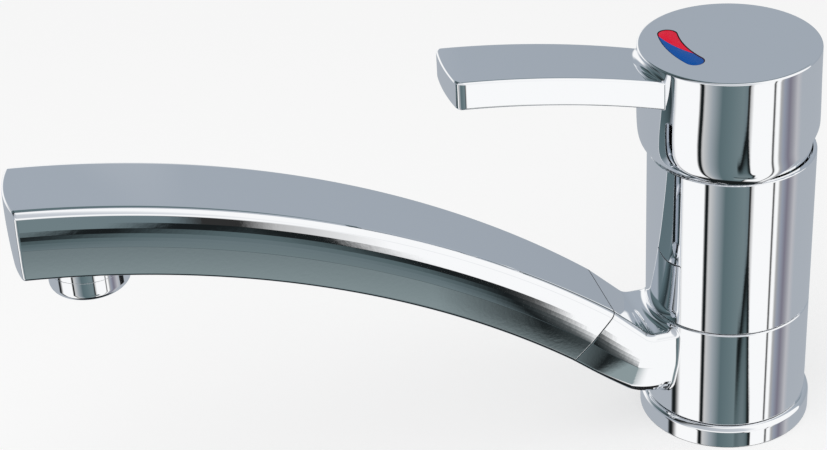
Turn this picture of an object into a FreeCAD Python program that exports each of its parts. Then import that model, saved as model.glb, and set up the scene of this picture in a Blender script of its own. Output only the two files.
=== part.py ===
import FreeCAD, Part
import math
import os

V = FreeCAD.Vector
ORIGIN = V(0, 0, 0)
X_AXIS = V(1, 0, 0)
Z_AXIS = V(0, 0, 1)

# Single-lever mixer tap. Lengths in millimetres, angles in degrees.
# +Z is up, the deck lies at z = 0 and the tap's own axis is the Z axis.
# The spout and the lever point along -Y. A side view is written as (s, z), where s = -y.

# How far a cutting form runs past the material, and how near an edge lies to be the one meant
cut_over = 1.0
cut_over_angle = 10.0
edge_match = 0.05
level_match = 0.001

# Corner radius of a hexagon whose flats lie 1 from its centre
hexagon_corner = 2 / math.sqrt(3)

# Clearances
seam_gap = 0.2
head_gap = 0.3
running_gap = 0.06
slip_gap = 0.1
disc_gap = 0.02

# Barrel: the swivel collar and the tap body share one outer radius. The spigot inside, the ring
# below, the head above, the lever and the elbow follow it.
barrel_r = 21.6
collar_h = 28.9
barrel_h = 44.7
edge_r = 0.4

# Base ring and deck
base_ring_over = 1.2
base_ring_h = 6.3
base_bead_r = 1.5
deck_gasket_edge = 1.8
deck_gasket_w = 2.6
deck_gasket_h = 1.8
deck_thickness = 12.0

# Swivel spigot below the barrel, and the threaded shank through the deck
spigot_step = 4.6
shank_step = 0.5
shank_length = 42.0
shank_chamfer = 1.0
slide_ring_w = 2.6
slide_ring_h = 1.3
swivel_seal_section = 2.4
swivel_seal_inset = 5.0
seal_ease = 0.25
collar_chamber_depth = 1.7
collar_chamber_margin = 3.6
outlet_level = 15.4

# Under-deck fixing
washer_r = 27.0
under_gasket_h = 3.0
washer_h = 2.0
washer_bore_gap = 0.25
back_nut_wall = 4.0
back_nut_h = 9.0

# Supply inlets in the end of the shank, M10 x 1
inlet_thread_r = 4.5
inlet_thread_depth = 13.0

# Head: a cap that leans forward over the barrel and stands out from it, sideways and front to back
head_h = 28.8
cap_top_over = 1.4
cap_top_lean = 1.5
cap_waist_up = 17.4
cap_belly_up = 6.9
cap_belly_over_x = 0.7
cap_belly_over_y = 1.6
cap_belly_lean = 1.2
cap_turn_up = 3.4
cap_turn_over_x = 0.585
cap_turn_over_y = 1.3
cap_turn_lean = 0.96
cap_top_wall = 5.0
cap_edge_r = 1.0
cap_relief_angle = 20.6

# Tilting ball skirt of the head, inside the barrel's thin sleeve
pivot_above_rim = 2.7
ball_gap = 0.2
ball_wall = 1.5
sleeve_wall = 1.0
skirt_cover = 1.0

# Lever
lever_lift = 20.0
lever_turn = 50.0
lever_w = 20.4
lever_t = 7.35
lever_arc_r = 265.0
lever_root_angle = 15.55
lever_root_inset = 0.7
lever_root_drop = 3.27
lever_reach = 75.0
lever_tip_bow = 0.8
lever_corner_r = 1.8
lever_edge_r = 0.6
lever_root_fillet = 2.0

# Red and blue index in the cap top
index_mid_r = 15.2
index_half_w = 2.4
index_half_angle = 36.0
index_depth = 0.8
index_recess = 0.12
index_outline = 0.15
index_split_angle = 24.0

# Boss in the head that takes the spindle, and its grub screw
spindle_w = 8.0
spindle_top_below_cap = 6.0
boss_r = 8.5
boss_bottom_above_pivot = 9.0
grub_r = 2.5
grub_length = 8.0
grub_key_r = 1.25
grub_bore_spare = 1.0
grub_up = 4.0
grub_web_w = 9.0
key_hole_r = 2.2

# Cartridge
cartridge_r = 17.5
pocket_gap = 0.1
nut_thread_r = 18.5
nut_h = 6.0
nut_top_below_rim = 8.8
nut_slot_w = 3.0
nut_slot_depth = 2.0
neck_r = 13.4
neck_bore_r = 11.56
neck_top_above_pivot = 3.5
chamber_r = 15.05
shoulder_wall = 2.2
base_flange_h = 3.0
base_spigot_h = 3.0
fixed_disc_h = 4.0
moving_disc_r = 10.4
moving_disc_h = 3.5
driver_h = 4.9
carrier_flange_h = 2.3
disc_lug_w = 3.0
disc_lug_depth = 1.4

# Water ways through the cartridge and the body
port_circle_r = 8.5
inlet_port_angle = 30.0
inlet_port_r = 2.8
outlet_port_r = 3.2
outlet_port_back = 1.8
mixing_half_length = 5.6
mixing_half_width = 7.6
mixing_depth = 1.8
port_seal_offset = 0.5
port_seal_w = 1.0
port_seal_h = 1.1
locating_pin_r = 1.9
locating_pin_h = 3.0
locating_pin_circle_r = 13.6

# Spindle, pin and carrier
pivot_pin_r = 1.5
pivot_pin_inset = 0.4
arm_root_r = 3.4
arm_end_r = 1.8
arm_ball_r = 2.4
arm_ball_below_driver_top = 2.0
carrier_slot_half_length = 7.0
carrier_seal_section = 1.8
carrier_seal_below_pivot = 9.0
stop_half_angle = 8.0
stop_root = 0.5
stop_depth = 2.0
stop_play = 1.0
rail_w = 2.0
rail_x = 8.6
rail_half_length = 3.0
rail_h = 1.9

# Spout, as (s, height above the root's middle line)
root_level = 17.5
joint_top_out = 13.7
joint_top_up = 18.87
joint_tilt = 38.8
joint_height = 17.5
joint_margin = 15.0
spout_w = 25.2
spout_top_arc_r = 268.0
spout_top_angle = 38.8
spout_bottom_arc_r = 249.4
spout_bottom_angle = 37.98
spout_reach = 183.0
spout_end_bow = 2.2
spout_end_swell = 0.5
spout_crease_drop = 10.3
spout_lean = 0.2
spout_edge_r = 1.8
spout_low_edge_r = 1.2
spout_wall = 2.3
spout_way_w = 14.0
spout_way_over = 1.0
spout_plug_length = 15.0
spout_seam = 0.05

# Elbow between the collar and the spout
elbow_root_s = 12.0
elbow_root_level = 15.9
elbow_half_h = 10.9
elbow_bottom_r = 7.0
elbow_bend_out = 4.0
elbow_bend_rise = 0.5
elbow_bend_h = 19.4
elbow_bend_tilt = 19.4
elbow_level_end = 5.0
elbow_slope_back = 8.0
elbow_fillet = 2.0
elbow_way_r = 5.5
elbow_way_back = 20.0

# Spout joint
joint_tube_r = 6.5
joint_tube_wall = 1.5
joint_tube_half_length = 9.0
joint_bore_spare = 3.0
joint_seal_section = 1.0
joint_seal_offset = 3.0
joint_screw_r = 2.0
joint_screw_length = 2.2
joint_screw_offset = 7.0
joint_screw_groove = 0.6

# Aerator
aerator_back = 17.5
aerator_r = 10.0
aerator_collar_h = 5.5
aerator_thread_r = 8.2
aerator_thread_h = 5.5
aerator_wall = 0.9
aerator_lip = 0.9
aerator_gasket_h = 1.3
aerator_outlet_r = 6.4
aerator_seat_wall = 1.6
insert_h = 4.2
insert_inset = 0.8
insert_hole_r = 1.05
insert_pitch = 2.7
insert_rings = 2

# Levels worked out from the sizes above
z_collar_0 = base_ring_h + seam_gap
z_collar_1 = z_collar_0 + collar_h
z_barrel_0 = z_collar_1 + seam_gap
z_rim = z_barrel_0 + barrel_h
z_head_0 = z_rim + head_gap
z_top = z_head_0 + head_h
z_pivot = z_rim + pivot_above_rim
z_nut_top = z_rim - nut_top_below_rim
z_shoulder = z_nut_top - nut_h
z_chamber_1 = z_shoulder - shoulder_wall
z_carrier_0 = z_chamber_1 - slip_gap - carrier_flange_h
z_driver_1 = z_carrier_0 - slip_gap
z_driver_0 = z_driver_1 - driver_h
z_moving_0 = z_driver_0 - moving_disc_h
z_fixed_1 = z_moving_0 - disc_gap
z_fixed_0 = z_fixed_1 - fixed_disc_h
z_base_1 = z_fixed_0
z_base_flange_1 = z_base_1 - base_spigot_h
z_floor = z_base_flange_1 - base_flange_h
z_neck_1 = z_pivot + neck_top_above_pivot
z_boss_0 = z_pivot + boss_bottom_above_pivot
z_spindle_1 = z_top - spindle_top_below_cap
z_root = z_collar_0 + root_level
z_outlet = z_collar_0 + outlet_level
z_shank_0 = -shank_length
z_elbow = z_collar_0 + elbow_root_level

# Distances in front of the axis
lever_root_s = barrel_r - lever_root_inset
elbow_bend_s = barrel_r + elbow_bend_out
joint_top_s = barrel_r + joint_top_out
aerator_s = spout_reach - aerator_back

# Radii worked out from the sizes above
spigot_r = barrel_r - spigot_step
shank_r = spigot_r - shank_step
base_ring_r = barrel_r + base_ring_over
deck_gasket_r = base_ring_r - deck_gasket_edge
back_nut_flat_r = shank_r + back_nut_wall
cap_top_r = barrel_r + cap_top_over
cap_belly_rx = barrel_r + cap_belly_over_x
cap_belly_ry = barrel_r + cap_belly_over_y
cap_turn_rx = barrel_r + cap_turn_over_x
cap_turn_ry = barrel_r + cap_turn_over_y
collar_bore_r = spigot_r + running_gap
sleeve_bore_r = barrel_r - sleeve_wall
ball_r = sleeve_bore_r - ball_gap
pocket_r = cartridge_r + pocket_gap
carrier_r = neck_bore_r - running_gap
disc_r = chamber_r - running_gap

# Spindle arm and disc travel
z_arm_ball = z_driver_1 - arm_ball_below_driver_top
half_lift = lever_lift / 2
arm_length = (z_pivot - z_arm_ball) / math.cos(math.radians(half_lift))
disc_rest = arm_length * math.sin(math.radians(half_lift))


def cylinder(radius, z0, z1, x=0.0, y=0.0):
    """Upright cylinder from z0 to z1."""
    return Part.makeCylinder(radius, z1 - z0, V(x, y, z0), Z_AXIS)


def ring(outer_r, inner_r, z0, z1, x=0.0, y=0.0):
    """Upright ring of rectangular section."""
    return cylinder(outer_r, z0, z1, x, y).cut(cylinder(inner_r, z0, z1, x, y))


def block(x0, x1, y0, y1, z0, z1):
    """Box between six planes."""
    return Part.makeBox(x1 - x0, y1 - y0, z1 - z0, V(x0, y0, z0))


def turned(points):
    """Solid of revolution about the Z axis of a closed (radius, z) outline."""
    corners = [V(r, 0, z) for r, z in points]
    outline = Part.makePolygon(corners + corners[:1])
    return Part.Face(outline).revolve(ORIGIN, Z_AXIS, 360)


def rod(radius, start, end):
    """Cylinder from one point to another."""
    return Part.makeCylinder(radius, (end - start).Length, start, end - start)


def seal_ring(outer_r, section, z):
    """Seal ring about the Z axis in its fitted form, pressed flat on all sides."""
    ease = seal_ease * section
    inner_r = outer_r - section
    z0 = z - section / 2
    z1 = z + section / 2
    return turned([
        (outer_r, z0 + ease),
        (outer_r, z1 - ease),
        (outer_r - ease, z1),
        (inner_r + ease, z1),
        (inner_r, z1 - ease),
        (inner_r, z0 + ease),
        (inner_r + ease, z0),
        (outer_r - ease, z0),
    ])


def fillet_where(shape, radius, wanted):
    """Fillet the edges for which wanted(edge) holds."""
    edges = [edge for edge in shape.Edges if wanted(edge)]
    return shape.makeFillet(radius, edges)


def at_level(edge, z):
    """Whether an edge lies wholly at height z."""
    box = edge.BoundBox
    return abs(box.ZMin - z) < level_match and abs(box.ZMax - z) < level_match


def rim_edge(edge, z, radius):
    """Whether an edge is the horizontal circle of this radius at height z."""
    return at_level(edge, z) and abs(edge.BoundBox.XMax - radius) < level_match


def polar(radius, angle):
    """X and Y of a point at an angle from +X."""
    a = math.radians(angle)
    return radius * math.cos(a), radius * math.sin(a)


def side_point(s, z, x=0.0):
    """Point from its side-view place (s, z)."""
    return V(x, -s, z)


def inlet_places():
    """Hot and cold port centres, in front of the axis, hot on -X."""
    hot = polar(port_circle_r, 180 + inlet_port_angle)
    cold = polar(port_circle_r, -inlet_port_angle)
    return [hot, cold]


def ports(z0, z1):
    """The three water ways between two levels, as solids to cut."""
    ways = [cylinder(inlet_port_r, z0, z1, x, y) for x, y in inlet_places()]
    ways.append(cylinder(outlet_port_r, z0, z1, 0, outlet_port_back))
    return ways


def port_seals(z0, z1):
    """Rings round the three ports between two levels."""
    places = [(x, y, inlet_port_r) for x, y in inlet_places()]
    places.append((0, outlet_port_back, outlet_port_r))
    rings = []
    for x, y, r in places:
        inner = r + port_seal_offset
        rings.append(ring(inner + port_seal_w, inner, z0, z1, x, y))
    return rings


def locating_pins(z0, z1, radius):
    """The two pins that stop the cartridge turning in the body."""
    places = [polar(locating_pin_circle_r, 180 - inlet_port_angle)]
    places.append(polar(locating_pin_circle_r, inlet_port_angle))
    return [cylinder(radius, z0, z1, x, y) for x, y in places]


def swivel_seal_levels():
    """Heights of the two O-rings of the swivel."""
    return [z_collar_0 + swivel_seal_inset, z_collar_1 - swivel_seal_inset]


def seal_groove(outer_r, depth, width, z):
    """Groove to cut in a shaft at height z."""
    return ring(outer_r + cut_over, outer_r - depth, z - width / 2, z + width / 2)


# Tap body and what is fixed to it

def tap_body():
    """Barrel, swivel spigot and threaded shank in one casting, with pocket and water ways."""
    body = turned([
        (0, z_shank_0),
        (shank_r - shank_chamfer, z_shank_0),
        (shank_r, z_shank_0 + shank_chamfer),
        (shank_r, 0),
        (spigot_r, 0),
        (spigot_r, z_barrel_0),
        (barrel_r, z_barrel_0),
        (barrel_r, z_rim),
        (sleeve_bore_r, z_rim),
        (sleeve_bore_r, z_nut_top),
        (nut_thread_r, z_nut_top),
        (nut_thread_r, z_shoulder),
        (pocket_r, z_shoulder),
        (pocket_r, z_floor),
        (0, z_floor),
    ])
    body = fillet_where(body, edge_r, lambda e: rim_edge(e, z_rim, barrel_r))
    body = fillet_where(body, edge_r, lambda e: rim_edge(e, z_barrel_0, barrel_r))
    for level in swivel_seal_levels():
        body = body.cut(seal_groove(spigot_r, swivel_seal_section,
                                    swivel_seal_section + slip_gap, level))
    cuts = locating_pins(z_floor - locating_pin_h - slip_gap, z_floor, locating_pin_r + slip_gap)
    for x, y in inlet_places():
        cuts.append(cylinder(inlet_port_r, z_shank_0, z_floor, x, y))
        cuts.append(cylinder(inlet_thread_r, z_shank_0, z_shank_0 + inlet_thread_depth, x, y))
    cuts.append(cylinder(outlet_port_r, z_outlet - outlet_port_r, z_floor, 0, outlet_port_back))
    cuts.append(rod(outlet_port_r, V(0, outlet_port_back, z_outlet),
                    V(0, -spigot_r - cut_over, z_outlet)))
    return body.cut(cuts)


def cartridge_housing():
    """Cup of the cartridge, with its neck round the spindle carrier and a turn stop inside."""
    housing = turned([
        (chamber_r, z_base_flange_1),
        (cartridge_r, z_base_flange_1),
        (cartridge_r, z_shoulder),
        (neck_r, z_shoulder),
        (neck_r, z_neck_1),
        (neck_bore_r, z_neck_1),
        (neck_bore_r, z_chamber_1),
        (chamber_r, z_chamber_1),
    ])
    stop = sector(chamber_r + stop_root, chamber_r - stop_depth, stop_half_angle,
                  z_carrier_0, z_chamber_1)
    return housing.fuse(stop)


def sector(outer_r, inner_r, half_angle, z0, z1):
    """Part of a ring, centred on +Y."""
    corner = Part.makeCylinder(outer_r, z1 - z0, V(0, 0, z0), Z_AXIS, 2 * half_angle)
    corner.rotate(ORIGIN, Z_AXIS, 90 - half_angle)
    return corner.cut(cylinder(inner_r, z0, z1))


def cartridge_base():
    """Port plate that closes the cartridge, with grooves for its seals and two locating pins."""
    base = cylinder(cartridge_r, z_floor, z_base_flange_1)
    base = base.fuse(cylinder(chamber_r, z_base_flange_1, z_base_1))
    base = base.fuse(locating_pins(z_floor - locating_pin_h, z_floor, locating_pin_r))
    lugs = disc_lugs(z_base_1, z_base_1 + fixed_disc_h / 2, slip_gap)
    cuts = ports(z_floor, z_base_1)
    cuts += port_seals(z_floor, z_floor + port_seal_h)
    cuts += port_seals(z_base_1 - port_seal_h, z_base_1)
    return base.cut(cuts).fuse(lugs)


def disc_lugs(z0, z1, ease):
    """Lugs at both sides that key the fixed disc, smaller than its notches by ease."""
    half = disc_lug_w / 2 - ease
    reach = disc_r - disc_lug_depth + ease
    bar = block(-chamber_r, chamber_r, -half, half, z0, z1)
    return bar.common(ring(disc_r, reach, z0, z1))


def cartridge_seals():
    """Port seals under and over the port plate."""
    return Part.makeCompound(port_seals(z_floor, z_floor + port_seal_h)
                             + port_seals(z_base_1 - port_seal_h, z_base_1))


def fixed_disc():
    """Lower ceramic disc with its three ports and two key notches."""
    disc = cylinder(disc_r, z_fixed_0, z_fixed_1)
    return disc.cut(ports(z_fixed_0, z_fixed_1) + [disc_lugs(z_fixed_0, z_fixed_1, 0)])


def cartridge_nut():
    """Ring nut that holds the cartridge down, with four spanner slots."""
    nut = ring(nut_thread_r, neck_r + slip_gap, z_shoulder, z_nut_top)
    slots = []
    for turn in (0, 90):
        slot = block(-nut_thread_r, nut_thread_r, -nut_slot_w / 2, nut_slot_w / 2,
                     z_nut_top - nut_slot_depth, z_nut_top)
        slot.rotate(ORIGIN, Z_AXIS, turn)
        slots.append(slot)
    return nut.cut(slots)


def upper_slide_ring():
    """Bearing ring between the collar's top and the barrel."""
    return ring(spigot_r + slide_ring_w, spigot_r, z_barrel_0 - slide_ring_h, z_barrel_0)


def lower_slide_ring():
    """Bearing ring between the base ring and the collar."""
    return ring(spigot_r + slide_ring_w, spigot_r, base_ring_h - slide_ring_h,
                z_collar_0 - running_gap)


def swivel_o_rings():
    """Both O-rings of the swivel, lying just inside the collar's bore."""
    return Part.makeCompound([seal_ring(spigot_r, swivel_seal_section, z)
                              for z in swivel_seal_levels()])


def base_ring():
    """Ring between the deck and the collar, with a rounded top edge."""
    body = turned([
        (spigot_r, 0),
        (base_ring_r, 0),
        (base_ring_r, base_ring_h),
        (spigot_r + slide_ring_w, base_ring_h),
        (spigot_r + slide_ring_w, base_ring_h - slide_ring_h),
        (spigot_r, base_ring_h - slide_ring_h),
    ])
    body = fillet_where(body, base_bead_r, lambda e: rim_edge(e, base_ring_h, base_ring_r))
    body = fillet_where(body, edge_r, lambda e: rim_edge(e, 0, base_ring_r))
    return body.cut(deck_gasket())


def deck_gasket():
    """Rubber ring in the underside of the base ring, pressed flush."""
    return ring(deck_gasket_r, deck_gasket_r - deck_gasket_w, 0, deck_gasket_h)


def under_deck_gasket():
    """Rubber washer under the deck."""
    top = -deck_thickness
    return ring(washer_r, shank_r + washer_bore_gap, top - under_gasket_h, top)


def clamp_washer():
    """Steel washer that spreads the nut's load."""
    top = -deck_thickness - under_gasket_h
    return ring(washer_r, shank_r + washer_bore_gap, top - washer_h, top)


def back_nut():
    """Hexagon nut on the shank, chamfered at its lower corners."""
    top = -deck_thickness - under_gasket_h - washer_h
    corner_r = back_nut_flat_r * hexagon_corner
    corners = [V(*polar(corner_r, 60 * i), top - back_nut_h) for i in range(7)]
    nut = Part.Face(Part.makePolygon(corners)).extrude(V(0, 0, back_nut_h))
    dome = Part.makeCone(back_nut_flat_r, back_nut_flat_r + back_nut_h, back_nut_h,
                         V(0, 0, top - back_nut_h), Z_AXIS)
    return nut.common(dome).cut(cylinder(shank_r, top - back_nut_h, top))


# Turning rotor of the cartridge

def spindle_carrier():
    """Rotor that turns with the lever and carries the pivot pin and the disc driver's rails."""
    flange_1 = z_carrier_0 + carrier_flange_h
    rotor = cylinder(carrier_r, z_carrier_0, z_neck_1)
    rotor = rotor.fuse(cylinder(disc_r, z_carrier_0, flange_1))
    slot_w = spindle_w / 2 + slip_gap
    rail_half = rail_w / 2 + slip_gap
    rail_run = rail_half_length + disc_rest + slip_gap
    cuts = [
        block(-slot_w, slot_w, -carrier_slot_half_length, carrier_slot_half_length,
              z_carrier_0, z_neck_1),
        rod(pivot_pin_r, V(-carrier_r, 0, z_pivot), V(carrier_r, 0, z_pivot)),
        sector(chamber_r, chamber_r - stop_depth - slip_gap,
               lever_turn + stop_half_angle + stop_play, z_carrier_0, flange_1),
        carrier_groove(),
    ]
    for x in (-rail_x, rail_x):
        cuts.append(block(x - rail_half, x + rail_half, -rail_run, rail_run,
                          z_carrier_0, z_carrier_0 + rail_h + slip_gap))
    return rotor.cut(cuts)


def carrier_groove():
    """Groove for the carrier's O-ring."""
    return seal_groove(carrier_r, carrier_seal_section, carrier_seal_section + slip_gap,
                       z_pivot - carrier_seal_below_pivot)


def carrier_o_ring():
    """O-ring that seals the turning carrier in the neck."""
    return seal_ring(carrier_r, carrier_seal_section, z_pivot - carrier_seal_below_pivot)


def pivot_pin():
    """Steel pin on which the spindle tilts."""
    reach = carrier_r - pivot_pin_inset
    return rod(pivot_pin_r, V(-reach, 0, z_pivot), V(reach, 0, z_pivot))


# Sliding discs, drawn where the closed lever holds them

def disc_driver():
    """Slider between the spindle's ball and the moving disc, with two rails and two lugs."""
    y = disc_rest
    driver = cylinder(moving_disc_r, z_driver_0, z_driver_1, 0, y)
    for x in (-rail_x, rail_x):
        driver = driver.fuse(block(x - rail_w / 2, x + rail_w / 2, y - rail_half_length,
                                   y + rail_half_length, z_driver_1, z_driver_1 + rail_h))
    driver = driver.fuse(driver_lugs(slip_gap))
    return driver.cut(cylinder(arm_ball_r + slip_gap, z_driver_0, z_driver_1, 0, y))


def driver_lugs(ease):
    """Lugs under the driver, smaller than the moving disc's notches by ease."""
    z0 = z_driver_0 - moving_disc_h / 2
    half = disc_lug_w / 2 - ease
    y = disc_rest
    bar = block(-moving_disc_r, moving_disc_r, y - half, y + half, z0, z_driver_0)
    inner = moving_disc_r - disc_lug_depth + ease
    return bar.common(ring(moving_disc_r, inner, z0, z_driver_0, 0, y))


def moving_disc():
    """Upper ceramic disc with its mixing pocket and two key notches."""
    y = disc_rest
    disc = cylinder(moving_disc_r, z_moving_0, z_driver_0, 0, y)
    bend = mixing_half_length
    half = mixing_half_width - bend
    pocket = block(-half, half, y - bend, y + bend, z_moving_0, z_moving_0 + mixing_depth)
    for x in (-half, half):
        pocket = pocket.fuse(cylinder(bend, z_moving_0, z_moving_0 + mixing_depth, x, y))
    return disc.cut([pocket, driver_lugs(0)])


# Lever head and what tilts with it

def oval(rx, ry, lean, z):
    """Closed oval at height z, its centre moved forward by lean."""
    centre = V(0, -lean, z)
    curve = Part.Ellipse(centre + V(0, ry, 0), centre + V(rx, 0, 0), centre)
    return Part.Wire(curve.toShape())


def cap_form():
    """Outer form of the cap: round on top, drawn in to the barrel's radius at the seam."""
    waist_x = (cap_top_r + cap_belly_rx) / 2
    waist_y = (cap_top_r + cap_belly_ry) / 2
    waist_lean = (cap_top_lean + cap_belly_lean) / 2
    cap = Part.makeLoft([
        oval(barrel_r, barrel_r, 0, z_head_0),
        oval(cap_turn_rx, cap_turn_ry, cap_turn_lean, z_head_0 + cap_turn_up),
        oval(cap_belly_rx, cap_belly_ry, cap_belly_lean, z_head_0 + cap_belly_up),
        oval(waist_x, waist_y, waist_lean, z_head_0 + cap_waist_up),
        oval(cap_top_r, cap_top_r, cap_top_lean, z_top),
    ], True)
    return fillet_where(cap, cap_edge_r, lambda e: at_level(e, z_top))


def arc_height(s, radius, s0, z0, angle):
    """Height at s of an arc that passes (s0, z0) rising at this angle and bends downward."""
    a = math.radians(angle)
    centre_s = s0 + radius * math.sin(a)
    centre_z = z0 - radius * math.cos(a)
    return centre_z + math.sqrt(radius ** 2 - (s - centre_s) ** 2)


def arc_edge(s_from, s_to, height):
    """Side-view arc between two distances, through its own middle."""
    points = [side_point(s, height(s)) for s in (s_from, (s_from + s_to) / 2, s_to)]
    return Part.Arc(*points).toShape()


def slab(top, bottom, s0, s1, width):
    """Bar of constant width between a top arc and a bottom arc, from s0 to s1."""
    upper = arc_edge(s0, s1, top)
    lower = arc_edge(s1, s0, bottom)
    front = Part.makeLine(side_point(s1, top(s1)), side_point(s1, bottom(s1)))
    back = Part.makeLine(side_point(s0, bottom(s0)), side_point(s0, top(s0)))
    face = Part.Face(Part.Wire([upper, front, lower, back]))
    face.translate(V(-width / 2, 0, 0))
    return face.extrude(V(width, 0, 0))


def lever_top(s):
    """Height of the lever's upper face."""
    return arc_height(s, lever_arc_r, lever_root_s, z_top - lever_root_drop, lever_root_angle)


def lever_bottom(s):
    """Height of the lever's lower face, a concentric arc."""
    a = math.radians(lever_root_angle)
    s0 = lever_root_s + lever_t * math.sin(a)
    z0 = z_top - lever_root_drop - lever_t * math.cos(a)
    return arc_height(s, lever_arc_r - lever_t, s0, z0, lever_root_angle)


def lever_form():
    """Flat arched lever with a slightly bowed end and rounded corners."""
    root = (ball_r + cap_top_r) / 2 - cap_top_lean
    bar = slab(lever_top, lever_bottom, root, lever_reach + cut_over, lever_w)
    bow_r = (lever_w ** 2 / 4 + lever_tip_bow ** 2) / (2 * lever_tip_bow)
    z0 = z_top - 2 * lever_t
    z1 = z_top + 3 * lever_t
    bar = bar.common(cylinder(bow_r, z0, z1, 0, bow_r - lever_reach))
    near_tip = lever_reach - 2 * lever_tip_bow
    bar = fillet_where(bar, lever_corner_r, lambda e: -e.BoundBox.YMax > near_tip
                       and abs(e.CenterOfMass.x) > lever_w / 2 - edge_match)
    return fillet_where(bar, lever_edge_r, lambda e: -e.BoundBox.YMin > root + cut_over
                        and e.BoundBox.DiagonalLength > lever_w / 2)


def half_space_below(height_at_axis, slope_angle, y_from):
    """Large block below a plane that rises toward +Y, kept from y_from on."""
    size = 3 * cap_top_r
    below = block(-size, size, -size, size, -size, 0)
    below.rotate(ORIGIN, X_AXIS, slope_angle)
    below.translate(V(0, 0, height_at_axis))
    return below.common(block(-size, size, y_from, size, 0, 2 * z_top))


def ball_skirt():
    """Spherical skirt about the pivot that covers the seam over the whole lift."""
    centre = V(0, 0, z_pivot)
    ball = Part.makeSphere(ball_r, centre)
    dip = math.degrees(math.asin((pivot_above_rim + skirt_cover) / ball_r)) + half_lift
    level = z_pivot - ball_r * math.sin(math.radians(dip))
    size = 3 * ball_r
    keep = block(-size, size, -size, size, level, z_head_0 + cap_belly_up + cut_over)
    keep.rotate(centre, X_AXIS, half_lift)
    return ball.common(keep)


def lever_head():
    """Cap, lever and ball skirt in one casting, with the spindle boss inside."""
    head = cap_form().fuse(lever_form())
    head = fillet_where(head, lever_root_fillet, on_lever_root)
    head = head.cut(half_space_below(z_head_0, cap_relief_angle, 0))
    head = head.fuse(ball_skirt())
    cavity_r = ball_r - ball_wall
    z_roof = z_top - cap_top_wall
    cavity = Part.makeSphere(cavity_r, V(0, 0, z_pivot))
    cavity = cavity.fuse(cylinder(cavity_r, z_pivot, z_roof))
    boss = cylinder(boss_r, z_boss_0, z_roof)
    web = block(-grub_web_w / 2, grub_web_w / 2, 0, cavity_r, z_boss_0, z_roof)
    cavity = cavity.cut([boss, web.common(cylinder(cavity_r, z_boss_0, z_roof))])
    half = spindle_w / 2 + slip_gap / 2
    socket = block(-half, half, -half, half, z_boss_0, z_spindle_1 + slip_gap)
    z_grub = z_boss_0 + grub_up
    thread_end = half + grub_length + grub_bore_spare
    thread = rod(grub_r, V(0, half - cut_over, z_grub), V(0, thread_end, z_grub))
    key_way = rod(key_hole_r, V(0, half + grub_length, z_grub), V(0, 2 * cap_top_r, z_grub))
    return head.cut([cavity, socket, thread, key_way] + index_recess_form())


def on_lever_root(edge):
    """Whether an edge runs across the lever's upper face where it meets the cap."""
    middle = edge.valueAt((edge.FirstParameter + edge.LastParameter) / 2)
    ends = [vertex.Point for vertex in edge.Vertexes]
    return (abs(middle.x) < edge_match and abs(middle.z - lever_top(-middle.y)) < edge_match
            and max(abs(end.x) for end in ends) < lever_w / 2 and middle.y > -lever_reach / 2)


def spindle():
    """Square spindle with a pin hole at the pivot and a tapered arm that ends in a ball."""
    half = spindle_w / 2
    post = block(-half, half, -half, half, z_pivot - half, z_spindle_1)
    a = math.radians(half_lift)
    pivot = V(0, 0, z_pivot)
    down = V(0, math.sin(a), -math.cos(a))
    arm = Part.makeCone(arm_root_r, arm_end_r, arm_length, pivot, down)
    ball = Part.makeSphere(arm_ball_r, pivot + down * arm_length)
    hole = rod(pivot_pin_r + running_gap, V(-half, 0, z_pivot), V(half, 0, z_pivot))
    return post.fuse([arm, ball]).cut(hole)


def kidney(mid_r, half_w, half_angle, z0, z1):
    """Curved slot about the cap's centre, centred on -Y, with round ends."""
    arc = ring(mid_r + half_w, mid_r - half_w, z0, z1)
    wedge = Part.makeCylinder(2 * mid_r, z1 - z0, V(0, 0, z0), Z_AXIS, 2 * half_angle)
    wedge.rotate(ORIGIN, Z_AXIS, -90 - half_angle)
    slot = arc.common(wedge)
    for side in (-1, 1):
        x, y = polar(mid_r, -90 + side * half_angle)
        slot = slot.fuse(cylinder(half_w, z0, z1, x, y))
    slot.translate(V(0, -cap_top_lean, 0))
    return slot.removeSplitter()


def index_recess_form():
    """Recess in the cap top that takes both inlays."""
    return [kidney(index_mid_r, index_half_w, index_half_angle, z_top - index_depth,
                   z_top + cut_over)]


def index_inlay(side):
    """One half of the index: side -1 is the red half toward -X, +1 the blue half."""
    form = kidney(index_mid_r, index_half_w - index_outline, index_half_angle,
                  z_top - index_depth, z_top - index_recess)
    size = 2 * cap_top_r
    split = block(-size, size, 0, size, z_top - 2 * index_depth, z_top)
    split.translate(V(0, index_outline / 2, 0))
    if side > 0:
        split.rotate(ORIGIN, Z_AXIS, 180)
    split.rotate(ORIGIN, Z_AXIS, index_split_angle)
    split.translate(V(0, -cap_top_lean - index_mid_r, 0))
    return form.common(split)


def grub_screw():
    """Set screw with a hexagon socket, pressed on the spindle's rear face."""
    start = spindle_w / 2
    z = z_boss_0 + grub_up
    screw = rod(grub_r, V(0, start, z), V(0, start + grub_length, z))
    corners = [V(0, start + grub_length, 0) + hexagon_point(i, grub_key_r, z) for i in range(7)]
    key = Part.Face(Part.makePolygon(corners)).extrude(V(0, -grub_length / 3, 0))
    return screw.cut(key)


def hexagon_point(index, flat_r, z):
    """Corner of an upright hexagon across the Y direction, from half its flats."""
    x, up = polar(flat_r * hexagon_corner, 60 * index)
    return V(x, 0, z + up)


# Swivel collar and spout

def joint_axis():
    """Centre of the spout joint and its direction toward the spout."""
    a = math.radians(joint_tilt)
    top = side_point(joint_top_s, z_root + joint_top_up)
    down = V(0, -math.sin(a), -math.cos(a))
    along = V(0, -math.cos(a), math.sin(a))
    return top + down * (joint_height / 2), along


def spout_top(s):
    """Height of the spout's upper face."""
    return arc_height(s, spout_top_arc_r, joint_top_s, z_root + joint_top_up, spout_top_angle)


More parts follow.
